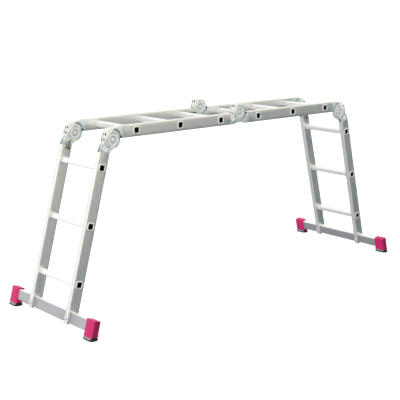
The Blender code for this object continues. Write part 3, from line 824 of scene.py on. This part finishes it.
PLATE_FACE = 0.0023
PLATE_BACK = 0.0053
PLATE_RADIUS = 0.043
BRACKET_END = 0.0677
TONGUE_END = 0.1077
STILE_TOP = -0.0033
STILE_BOTTOM = -0.0627
TONGUE_TOP = -0.0053
TONGUE_BOTTOM = -0.0607
RING_RADIUS = 0.0285
RING_RISE = 0.0014
RING_SLOPE = 0.0020
DISH_RADIUS = 0.0175
DISH_DEPTH = 0.0025
AXLE_HOLE = 0.0063
BOSS_AT = (-0.050, -PIVOT_OFFSET)
BOSS_RADIUS = 0.013
BOSS_RISE = 0.0028
BOSS_CORNER = 0.0014
DIMPLE_LIP = 0.0045
DIMPLE_SLOPE = 0.0018
DIMPLE_DEPTH = 0.0010
PRESSED_EDGE = 0.0005
END_CUT = (0.029, math.radians(-58))
END_CREST = (-0.0404, 0.0147)
END_SHOULDER = (-0.0574, STILE_TOP)
END_HEEL = (-0.0397, -0.0590)
SHOULDER_LOW = -0.0600
SHOULDER_INNER = -0.0520
MIDDLE_CUT = (0.032, math.radians(153))
MIDDLE_HEEL = (-0.038, STILE_BOTTOM)
MIDDLE_CHIN = (-0.0063, -0.0516)
MIDDLE_TOE = (0.0133, -0.0409)
MIDDLE_CREST = (-0.0425, -0.0130)
LOCK_RADIUS = 0.050
LOCK_ANGLE = 36
LOCK_HOLE = 0.0046
COLLAR_RADIUS = 0.009
COLLAR_DEPTH = 0.0001
WEB_LENGTH = 0.030
WEB_SETBACK = 0.002

HINGE_BODIES = {
    "left": ("leg_left", "deck_left"),
    "middle": ("deck_left", "deck_right"),
    "right": ("leg_right", "deck_right"),
}


def sheet_between(low, high, face=PLATE_FACE, back=PLATE_BACK):
    return block((*low, face), (*high, back))


def sawn(plate, start, end):
    """Saws a plate along the line from start to end, and throws away its right-hand side."""
    run = (end[0] - start[0], end[1] - start[1])
    return trimmed(plate, (*start, 0), (run[1], -run[0], 0))


def sawn_round(plate, distance, toward):
    """Saws off what is further than the distance from the pivot in one direction."""
    outwards = (math.cos(toward), math.sin(toward), 0)
    return trimmed(plate, [distance * part for part in outwards], outwards)


def pressed_ring():
    """The raised ring with the dish inside it, on the plate's outside face; a hole for the axle last."""
    ring = drum(RING_RADIUS, PLATE_FACE, PLATE_BACK, vertices=128)
    choose(ring, "FACE", lambda centre, normal: normal.z < -0.9)
    bpy.ops.mesh.inset(thickness=RING_SLOPE, depth=RING_RISE)
    bpy.ops.mesh.inset(thickness=RING_RADIUS - 2 * RING_SLOPE - DISH_RADIUS, depth=0)
    bpy.ops.mesh.inset(thickness=RING_SLOPE, depth=-DISH_DEPTH)
    return worked(edited(ring), "DIFFERENCE", drum(AXLE_HOLE, -0.01, 0.01, vertices=64))


def boss():
    """The round boss pressed up over the rivets, with a shallow dimple in its middle."""
    top = PLATE_FACE - BOSS_RISE
    made = drum(BOSS_RADIUS, top, PLATE_FACE + 0.001, BOSS_AT, 64)
    choose(made, "FACE", lambda centre, normal: normal.z < -0.9)
    bpy.ops.mesh.inset(thickness=DIMPLE_LIP, depth=0)
    bpy.ops.mesh.inset(thickness=DIMPLE_SLOPE, depth=-DIMPLE_DEPTH)
    edited(made)

    def on_rim(point):
        return abs(point.z - top) < 1e-6 and (point.xy - Vector(BOSS_AT)).length > BOSS_RADIUS - 0.001

    return rounded(made, lambda a, b: on_rim(a) and on_rim(b), BOSS_CORNER, 4)


def end_plate():
    """The outline of an end hinge's bracket: round at the pivot, with an arm up to the stile."""
    arm = sheet_between((-BRACKET_END, STILE_BOTTOM), (0.0, END_CREST[1]))
    sawn(arm, END_CREST, END_SHOULDER)
    sawn(arm, (-BRACKET_END, STILE_BOTTOM), END_HEEL)
    plate = worked(drum(PLATE_RADIUS, PLATE_FACE, PLATE_BACK, vertices=160), "UNION", arm)
    sawn_round(plate, *END_CUT)
    shoulder = sheet_between((-BRACKET_END, SHOULDER_LOW), (SHOULDER_INNER, STILE_TOP))
    return worked(plate, "UNION", shoulder)


def middle_plate():
    """The outline of a middle hinge's bracket, whose pivot stands above the stile."""
    arm = sheet_between((-BRACKET_END, STILE_BOTTOM), (MIDDLE_TOE[0], STILE_TOP))
    sawn(arm, MIDDLE_HEEL, MIDDLE_CHIN)
    sawn(arm, MIDDLE_CHIN, MIDDLE_TOE)
    sawn(arm, MIDDLE_CREST, (-BRACKET_END, STILE_TOP))
    disc = sawn_round(drum(PLATE_RADIUS, PLATE_FACE, PLATE_BACK, vertices=160), *MIDDLE_CUT)
    return worked(disc, "UNION", arm)


def other_face(shape):
    """The same shape on the hinge's other face."""
    shape.data.transform(Matrix.Translation((0, 0, STILE_THICK)) @ Matrix.Scale(-1, 4, (0, 0, 1)))
    shape.data.flip_normals()
    return shape


def outer_plate(outline, *cutters):
    """One plate with its raised ring and the tongue that goes inside the stile."""
    plate = worked(outline(), "DIFFERENCE", drum(RING_RADIUS - 0.0002, -0.01, 0.01, vertices=128))
    for cutter in cutters:
        worked(plate, "DIFFERENCE", cutter)
    softened(plate, PRESSED_EDGE, 2)
    tongue = sheet_between(
        (-TONGUE_END, TONGUE_BOTTOM),
        (-BRACKET_END + 0.001, TONGUE_TOP),
        PLATE_FACE + 0.0001,
        PLATE_BACK - 0.0001,
    )
    return as_one(plate, tongue, pressed_ring())


def pressed_coat(centre, normal):
    """The raised ring and the boss are painted lighter as a painted highlight (1); their slopes and the
    dish are painted darker as painted shade (2).
    """
    depth = min(centre.z, STILE_THICK - centre.z)
    if (centre.xy - Vector(BOSS_AT)).length < BOSS_RADIUS and depth < PLATE_FACE - 0.0005:
        return 1
    flat = abs(normal.z) > 0.9
    if flat and abs(depth - PLATE_FACE + RING_RISE) < 0.0003:
        return 1
    on_plate = flat and abs(depth - PLATE_FACE) < 0.0003
    if on_plate or depth > PLATE_FACE + 0.0015 or centre.xy.length > RING_RADIUS - 0.0001:
        return 0
    return 2


def lock_point(stop):
    """Where the lock bolt stands on the disc when the hinge is held open by this many degrees."""
    turn = math.radians(stop + LOCK_ANGLE)
    return (LOCK_RADIUS * math.cos(turn), LOCK_RADIUS * math.sin(turn))


LOCK_SEAT = lock_point(180)


def lock_drill(centre):
    return drum(LOCK_HOLE, -0.01, 0.02, centre, 40)


def web(start, back):
    """The block inside the stile that joins the two tongues."""
    top = -PIVOT_OFFSET + STILE_DEPTH / 4
    low = (start, top - STILE_DEPTH / 2)
    return sheet_between(low, (start + WEB_LENGTH, top), back, STILE_THICK - back)


def outer_half(outline):
    """Two plates facing each other, with the boss on the outside and the lock bolt's collar inside."""
    front = as_one(outer_plate(outline), boss())
    back = outer_plate(outline, lock_drill(LOCK_SEAT))
    collar = drum(COLLAR_RADIUS, -COLLAR_DEPTH, PLATE_FACE + 0.0005, LOCK_SEAT, 48)
    worked(collar, "DIFFERENCE", lock_drill(LOCK_SEAT))
    back = other_face(as_one(back, softened(collar, 0.0004)))
    whole = as_one(front, back, web(WEB_SETBACK - TONGUE_END, PLATE_BACK))
    return smoothed(coated(whole, pressed_coat))


def hinge_frame(place, half):
    """Pivot at the origin, the outer half along -x and the inner half along +x."""
    if place == "middle":
        return Matrix.Translation(middle_pivot)
    if half == "outer":
        made = standing(end_pivot, -leg_down, -leg_out)
    else:
        made = standing(end_pivot, Vector((-1, 0, 0)), Vector((0, 0, -1)))
    return mirror_x @ made if place == "left" else made


def face_frame(side):
    """Stands a plate drawn flat, with its depth along z, on one side of the ladder."""
    toward = SIDES[side]
    return Matrix(
        ((1, 0, 0, 0), (0, 0, -toward, toward * LADDER_WIDTH / 2), (0, 1, 0, 0), (0, 0, 0, 1))
    )


def fit_to_hinges(shapes, name, node, half, finish, slot, replaced=True):
    """One copy on each side of each hinge, riding on the right body."""
    for place, bodies in HINGE_BODIES.items():
        shape = shapes["middle"] if place == "middle" else shapes["end"]
        body = bodies[0 if half == "outer" else 1]
        for side in SIDES:
            hinge = f"hinge_{place}_{side}"
            where = hinge_frame(place, half) @ face_frame(side)
            rides = f"{hinge}_latch" if node == "latch" else body
            nodes = [f"{hinge}_{node}"] if replaced else []
            fitted(shape, f"{hinge}_{name}", where, rides, finish, slot, *nodes)


outer_shapes = {"end": outer_half(end_plate), "middle": outer_half(middle_plate)}
hinge_finish = zinc_plate("hinge_pale_zinc", (0.84, 0.93, 0.93), (0.70, 0.80, 0.80), 0.32, 0.55)
# Lighter and darker copies of the zinc for the ring, boss and dish: painted highlight and painted shade.
painted_highlight_zinc = zinc_plate("hinge_painted_highlight_zinc", (0.98, 0.98, 0.98), (0.93, 0.94, 0.94), 0.35, 0.2)
dish_painted_shade_zinc = zinc_plate("hinge_dish_painted_shade_zinc", (0.66, 0.70, 0.72), (0.52, 0.57, 0.59), 0.40, 0.5)
coats = (hinge_finish, painted_highlight_zinc, dish_painted_shade_zinc)
fit_to_hinges(outer_shapes, "pressed_bracket", "outer_half", "outer", coats, "hinge_zinc")
put_away(*outer_shapes.values())

# ---- Locking discs: the inner half ----
# The other stile carries two thinner discs that turn between the bracket plates. Their wide part has the
# holes the lock bolt drops into. A thick pad, joggled down to the disc, brings them flush with the stile.

DISC_FACE = 0.0056
DISC_BACK = 0.0081
CORE_RADIUS = 0.040
DISC_RADIUS = 0.058
PAD_FACE = 0.0002
PAD_START = 0.0054
PAD_HEEL = -0.0517
SHANK_START = 0.0061
SHANK_HEEL = -0.0577
FULL_DEPTH_AT = 0.038
JOGGLE = (0.0450, 0.0522)
SHADE_CUP_RADIUS = 0.0064
SHADE_CUP_LENGTH = 0.0042
DISC_EDGE = 0.0004
PAD_EDGE = 0.0006
PAD_LAP = 0.0004
TONGUE_LAP = 0.004
CLEARED_FROM = (0.040, -0.016)
LOCK_CENTRES = [lock_point(stop) for stop in (180, 150, 105)]
SECTOR = (math.radians(126), math.radians(276))


def dark_steel():
    made = Finish("pin_black_phosphate", (0.05, 0.055, 0.055), 0.5, 0.7)
    at = made.place()
    bloom = made.noise(at, 400.0, 4.0)
    made.put("Base Color", made.blended(bloom, (0.03, 0.034, 0.034), (0.10, 0.11, 0.11)))
    made.put("Roughness", 0.38 + bloom * 0.25)
    made.relief(bloom, 0.00004, 0.5)
    return made.material


def locking_disc():
    """A disc with a wider sector for the lock holes, a shank along the stile and a tongue inside it."""
    disc = drum(CORE_RADIUS, DISC_FACE, DISC_BACK, vertices=128)
    sector = drum(DISC_RADIUS, DISC_FACE, DISC_BACK, vertices=160)
    sawn_round(sector, 0, SECTOR[0] - math.pi / 2)
    sawn_round(sector, 0, SECTOR[1] + math.pi / 2)
    corner = (BRACKET_END, STILE_TOP)
    shank = sheet_between((SHANK_START, STILE_BOTTOM), corner, DISC_FACE, DISC_BACK)
    sawn(shank, (SHANK_START, SHANK_HEEL), (FULL_DEPTH_AT, STILE_BOTTOM))
    low, high = (BRACKET_END - TONGUE_LAP, TONGUE_BOTTOM), (TONGUE_END, TONGUE_TOP)
    worked(disc, "UNION", sector, shank, sheet_between(low, high, DISC_FACE, DISC_BACK))
    for centre in LOCK_CENTRES:
        worked(disc, "DIFFERENCE", drum(LOCK_HOLE, 0, 0.02, centre, 40))
    softened(disc, DISC_EDGE, 2)
    # Black cups behind the lock holes make the holes read dark: painted shade.
    shade_cups = []
    for centre in LOCK_CENTRES:
        shade_cup = drum(SHADE_CUP_RADIUS, DISC_BACK - 0.0002, DISC_BACK + SHADE_CUP_LENGTH, centre, 40)
        shade_cups.append(worked(shade_cup, "DIFFERENCE", drum(LOCK_HOLE, 0, 0.02, centre, 40)))
    return as_one(disc, *shade_cups)


def pad():
    """The pad, bored to a cone round the disc, with its upper corner cleared for the folded bracket."""
    corner = (BRACKET_END, STILE_TOP)
    made = sheet_between((PAD_START, STILE_BOTTOM), corner, PAD_FACE, DISC_FACE + PAD_LAP)
    sawn(made, (PAD_START, PAD_HEEL), (FULL_DEPTH_AT, STILE_BOTTOM))
    slope = (JOGGLE[1] - JOGGLE[0]) / (DISC_FACE - PAD_FACE)
    bore = drum(
        JOGGLE[1] + slope * 0.002,
        PAD_FACE - 0.002,
        DISC_FACE + 0.002,
        vertices=160,
        top_radius=JOGGLE[0] - slope * 0.002,
    )
    clearance = block((*CLEARED_FROM, PAD_FACE - 0.001), (JOGGLE[1], 0.0, DISC_FACE))
    return softened(worked(made, "DIFFERENCE", bore, clearance), PAD_EDGE, 3, 25)


def joggled_coat(centre, normal):
    """Bright disc (0), pad like the bracket (1), joggle painted darker as painted shade (2), lock holes in
    black cups as painted shade (3).
    """
    depth = min(centre.z, STILE_THICK - centre.z)
    from_hole = min((centre.xy - Vector(hole)).length for hole in LOCK_CENTRES)
    if from_hole < SHADE_CUP_RADIUS + 0.0002 and (abs(normal.z) < 0.9 or depth > DISC_BACK + 0.001):
        return 3
    if depth > DISC_FACE - 0.0002:
        return 0
    sloping = centre.xy.length < JOGGLE[1] + 0.002 and abs(normal.z) < 0.95
    return 2 if sloping else 1


def inner_half():
    front = as_one(locking_disc(), pad())
    back = other_face(as_one(locking_disc(), pad()))
    whole = as_one(front, back, web(TONGUE_END - WEB_SETBACK - WEB_LENGTH, DISC_BACK))
    return smoothed(coated(whole, joggled_coat))


inner_shape = inner_half()
disc_finish = zinc_plate("disc_bright_zinc", (0.99, 0.99, 0.985), (0.95, 0.96, 0.96), 0.50, 0.0)
both = {"end": inner_shape, "middle": inner_shape}
# Darker zinc for the joggle slopes: painted shade. The lock-hole cups take the black pin finish, also as
# painted shade.
shade_painted_zinc = zinc_plate("joggle_shade_painted_zinc", (0.42, 0.46, 0.49), (0.32, 0.36, 0.38), 0.40, 0.6)
pin_finish = dark_steel()
coats = (disc_finish, hinge_finish, shade_painted_zinc, pin_finish)
fit_to_hinges(both, "locking_disc", "inner_half", "inner", coats, "disc_zinc")
put_away(inner_shape)

# ---- Pivot rivets ----
# A thick steel rivet through both plates and both discs is the axle of the hinge. Its heads are
# closed cold, so they are slightly domed with a dimple in the middle.

RIVET_SEAT = PLATE_FACE + 0.0009
RIVET_RADIUS = 0.0092
RIVET_HEAD = 0.0024
RIVET_CORNER = 0.0012
CROWN_RIM = 0.0050
CROWN_RISE = 0.0004
RIVET_DIMPLE_SLOPE = 0.0016
RIVET_DIMPLE_DEPTH = 0.0010
AXLE_RADIUS = 0.006


def rivet_head():
    rim = RIVET_SEAT - RIVET_HEAD
    head = drum(RIVET_RADIUS, rim, RIVET_SEAT, vertices=64)
    choose(head, "FACE", lambda centre, normal: normal.z < -0.9)
    bpy.ops.mesh.inset(thickness=CROWN_RIM, depth=CROWN_RISE)
    bpy.ops.mesh.inset(thickness=RIVET_DIMPLE_SLOPE, depth=-RIVET_DIMPLE_DEPTH)
    edited(head)

    def on_rim(point):
        return abs(point.z - rim) < 1e-6 and point.xy.length > RIVET_RADIUS - 0.0002

    return rounded(head, lambda a, b: on_rim(a) and on_rim(b), RIVET_CORNER, 4)


axle = drum(AXLE_RADIUS, RIVET_SEAT - 0.001, STILE_THICK - RIVET_SEAT + 0.001)
rivet_shape = as_one(rivet_head(), other_face(rivet_head()), axle)
smoothed(rivet_shape)
rivet_finish = zinc_plate("rivet_bright_steel", (0.97, 0.97, 0.97), (0.88, 0.89, 0.89), 0.30, 0.35)
both = {"end": rivet_shape, "middle": rivet_shape}
fit_to_hinges(both, "pivot_axle", "pivot_rivet", "outer", rivet_finish, "rivet_steel")
put_away(rivet_shape)

# ---- Lock pins and marks on the brackets ----
# Beside each boss the heads of two fixed stop pins and the end of the return spring's hook show as small,
# dark, phosphated heads that stand a little proud of the plate.

STOP_PINS = {(-0.0355, -0.0268): 0.0025, (-0.0391, -0.0201): 0.0026, (-0.0323, -0.0113): 0.0027}
PIN_RISE = 0.0009
PIN_EDGE = 0.0004


def stop_pins():
    """The three heads, as one object."""
    heads = []
    for at, radius in STOP_PINS.items():
        head = drum(radius, PLATE_FACE - PIN_RISE, PLATE_FACE + 0.001, at, 40)
        heads.append(softened(head, PIN_EDGE))
    return smoothed(as_one(*heads))


pin_shape = stop_pins()
both = {"end": pin_shape, "middle": pin_shape}
fit_to_hinges(both, "stop_pins", "outer_half", "outer", pin_finish, "hinge_zinc", replaced=False)
put_away(pin_shape)

# ---- Latches ----
# On the inside of each hinge a pressed lever carries the lock bolt. Its head is yellow-passivated and its
# stem has gone dark. A brown plastic finger grip is pressed on its end.

BRACKET_DEPTH = 0.0262
LATCH_GAP = 0.0004
LATCH_TRAVEL = 0.0080
LEVER_FACE = BRACKET_DEPTH + LATCH_GAP + LATCH_TRAVEL
LEVER_PLATE = 0.0025
LEVER_HEAD = (0.010, 0.020)
LEVER_STEM = 0.007
LEVER_REACH = 0.041
LEVER_CORNER = 0.0015
LEVER_EDGE = 0.0004
RIB_WIDTH = 0.0026
RIB_RISE = 0.0009
RIB_SPAN = (0.006, 0.007)
BUTTON_RADIUS = 0.0038
BUTTON_RISE = 0.0012
LOCK_BOLT_RADIUS = 0.0042
LOCK_BOLT_NOSE = 0.0008
GRIP_LENGTH = 0.009
GRIP_WIDTH = 0.010
GRIP_HEIGHT = 0.006
GRIP_CORNER = 0.002
GRIP_EDGE = 0.0006
GRIP_NOTCH = 0.0010
GRIP_NOTCH_DEPTH = 0.0009
GRIP_NOTCH_FROM = 0.0022
GRIP_NOTCH_PITCH = 0.0023


def lever():
    """A short cross bar over the lock bolt, and a long stem with a pressed rib."""
    x, z = LOCK_SEAT
    half_length, half_width = LEVER_HEAD[0] / 2, LEVER_HEAD[1] / 2
    top = LEVER_FACE + LEVER_PLATE
    head = block((x - half_length, z - half_width, LEVER_FACE), (x + half_length, z + half_width, top))
    rounded(head, runs_along(2), LEVER_CORNER, 5)
    half_stem, half_rib = LEVER_STEM / 2, RIB_WIDTH / 2
    stem = block((x - LEVER_REACH, z - half_stem, LEVER_FACE), (x, z + half_stem, top - 0.0001))
    low = (x - LEVER_REACH + RIB_SPAN[0], z - half_rib, top - 0.001)
    rib = block(low, (x - RIB_SPAN[1], z + half_rib, top + RIB_RISE))
    rounded(rib, lambda a, b: min(a.z, b.z) > top, 0.0006, 3)
    button = softened(drum(BUTTON_RADIUS, LEVER_FACE + 0.0010, top + BUTTON_RISE, LOCK_SEAT, 48), 0.0005)
    softened(head, LEVER_EDGE, 2, 50)
    softened(stem, LEVER_EDGE)
    return smoothed(as_one(head, stem, rib, button))


def lock_bolt():
    nose = STILE_THICK - DISC_FACE + LATCH_GAP
    pin = drum(LOCK_BOLT_RADIUS, nose, LEVER_FACE + 0.001, LOCK_SEAT, 40)
    return rounded(pin, lambda a, b: max(a.z, b.z) < nose + 1e-6, LOCK_BOLT_NOSE, 3)


lever_shape = as_one(lever(), lock_bolt())
stem_from = LOCK_SEAT[0] - LEVER_HEAD[0] / 2 - 0.002
coated(lever_shape, lambda centre, normal: centre.x < stem_from)


def finger_grip():
    """The grip on the lever's end, with three notches across its top."""
    x, z = LOCK_SEAT
    tip = x - LEVER_REACH - GRIP_LENGTH / 2
    top = LEVER_FACE + LEVER_PLATE + GRIP_HEIGHT
    low = (tip, z - GRIP_WIDTH / 2, LEVER_FACE - 0.0002)
    grip = block(low, (tip + GRIP_LENGTH, z + GRIP_WIDTH / 2, top))
    rounded(grip, runs_along(2), GRIP_CORNER, 5)
    for number in range(3):
        at = tip + GRIP_NOTCH_FROM + number * GRIP_NOTCH_PITCH
        notch = block((at - GRIP_NOTCH / 2, -1, top - GRIP_NOTCH_DEPTH), (at + GRIP_NOTCH / 2, 1, 1))
        worked(grip, "DIFFERENCE", notch)
    return smoothed(softened(grip, GRIP_EDGE, 2))


def brown_plastic():
    made = Finish("grip_brown_plastic", (0.23, 0.055, 0.035), 0.45, 0.0)
    at = made.place()
    grain = made.noise(at, 1800.0, 2.0)
    cloud = made.noise(at, 60.0, 3.0)
    made.put("Base Color", made.blended(cloud, (0.20, 0.045, 0.030), (0.30, 0.080, 0.050)))
    made.put("Roughness", 0.38 + grain * 0.16)
    made.relief(grain, 0.00006, 0.5)
    return made.material


grip_shape = finger_grip()
lever_finish = zinc_plate("lever_yellow_zinc", (0.80, 0.76, 0.42), (0.58, 0.52, 0.26), 0.32, 0.7, 200.0)
grip_finish = brown_plastic()
both = {"end": lever_shape, "middle": lever_shape}
coats = (lever_finish, pin_finish)
fit_to_hinges(both, "release_lever", "latch", "outer", coats, "latch_yellow_zinc")
both = {"end": grip_shape, "middle": grip_shape}
fit_to_hinges(both, "finger_grip", "latch", "outer", grip_finish, "latch_yellow_zinc", replaced=False)
put_away(lever_shape, grip_shape)

# ---- Room, light and camera ----
# The ladder stands on white paper, lit by one broad soft light high on its left and by the pale walls of
# the room, which show in the metal.


KEY_SIZE = 3
KEY_POWER = 110
KEY_AT = (-5.5, 0.6, 3.4)
KEY_AIM = (0, 0, 0.5)
CAMERA_AT = (-3.338, -3.489, 1.519)
CAMERA_AZIMUTH = math.radians(42.59)
CAMERA_DOWN = math.radians(12.66)
CAMERA_ROLL = math.radians(0.27)
CAMERA_LENS = 80.1


def floor():
    """Paper that glows a little, so that it stays white, and sends no light up at the ladder."""
    sweep = fresh(bpy.ops.mesh.primitive_plane_add, size=400)
    sweep.name = "white_floor"
    paper = Finish("white_paper", (0.9, 0.9, 0.9), 0.9, 0.0)
    paper.put("Emission Color", (1, 1, 1, 1))
    paper.put("Emission Strength", 0.35)
    sweep.data.materials.append(paper.material)
    sweep.visible_glossy = False
    sweep.visible_diffuse = False


def room():
    """Bright behind and to the left, warm in front, dark and cool low on the right, and a grey floor."""
    world = bpy.data.worlds.new("studio")
    bpy.context.scene.world = world
    world.use_nodes = True
    walls = Nodes(world.node_tree, "Background")
    toward = walls.node("ShaderNodeTexCoord", {}, {}, "Generated")

    def facing(direction, start, end):
        values = {0: toward, 1: direction}
        along = walls.node("ShaderNodeVectorMath", {"operation": "DOT_PRODUCT"}, values, "Value")
        return walls.steps(along * 0.5 + 0.5, (start, 0.0), (end, 1.0))

    front = facing((0.60, -0.80, 0.0), 0.50, 0.80)
    cool = facing((0.62, 0.0, -0.78), 0.712, 0.748)
    low = facing((0.0, 0.0, -1.0), 0.50, 0.80)
    paper = walls.blended(low, (1.08, 1.08, 1.08), (0.46, 0.47, 0.49))
    grey = walls.blended(cool, (1.10, 1.05, 0.92), (0.05, 0.11, 0.17))
    walls.put("Color", walls.blended(front, paper, grey))


def key_light():
    """One broad soft light, high on the left."""
    lamp = bpy.data.lights.new("soft_key", "AREA")
    lamp.size = KEY_SIZE
    lamp.energy = KEY_POWER
    holder = bpy.data.objects.new("soft_key", lamp)
    bpy.context.scene.collection.objects.link(holder)
    holder.visible_camera = False
    aim = (Vector(KEY_AIM) - Vector(KEY_AT)).to_track_quat("-Z", "Y").to_matrix().to_4x4()
    aim.translation = KEY_AT
    holder.matrix_world = aim


def camera():
    """A long lens a little above the deck, looking from beyond the ladder's near left corner."""
    level = math.cos(CAMERA_DOWN)
    ahead = Vector(
        (math.sin(CAMERA_AZIMUTH) * level, math.cos(CAMERA_AZIMUTH) * level, -math.sin(CAMERA_DOWN))
    )
    right = ahead.cross(Vector((0, 0, 1))).normalized()
    up = right.cross(ahead)
    across = right * math.cos(CAMERA_ROLL) + up * math.sin(CAMERA_ROLL)
    top = up * math.cos(CAMERA_ROLL) - right * math.sin(CAMERA_ROLL)
    seen = bpy.data.cameras.new("camera")
    seen.sensor_width = 36
    seen.lens = CAMERA_LENS
    holder = bpy.data.objects.new("camera", seen)
    bpy.context.scene.collection.objects.link(holder)
    place = Matrix((across, top, -ahead)).transposed().to_4x4()
    place.translation = CAMERA_AT
    holder.matrix_world = place
    bpy.context.scene.camera = holder


floor()
room()
key_light()
camera()
bpy.context.scene.view_settings.view_transform = "Standard"
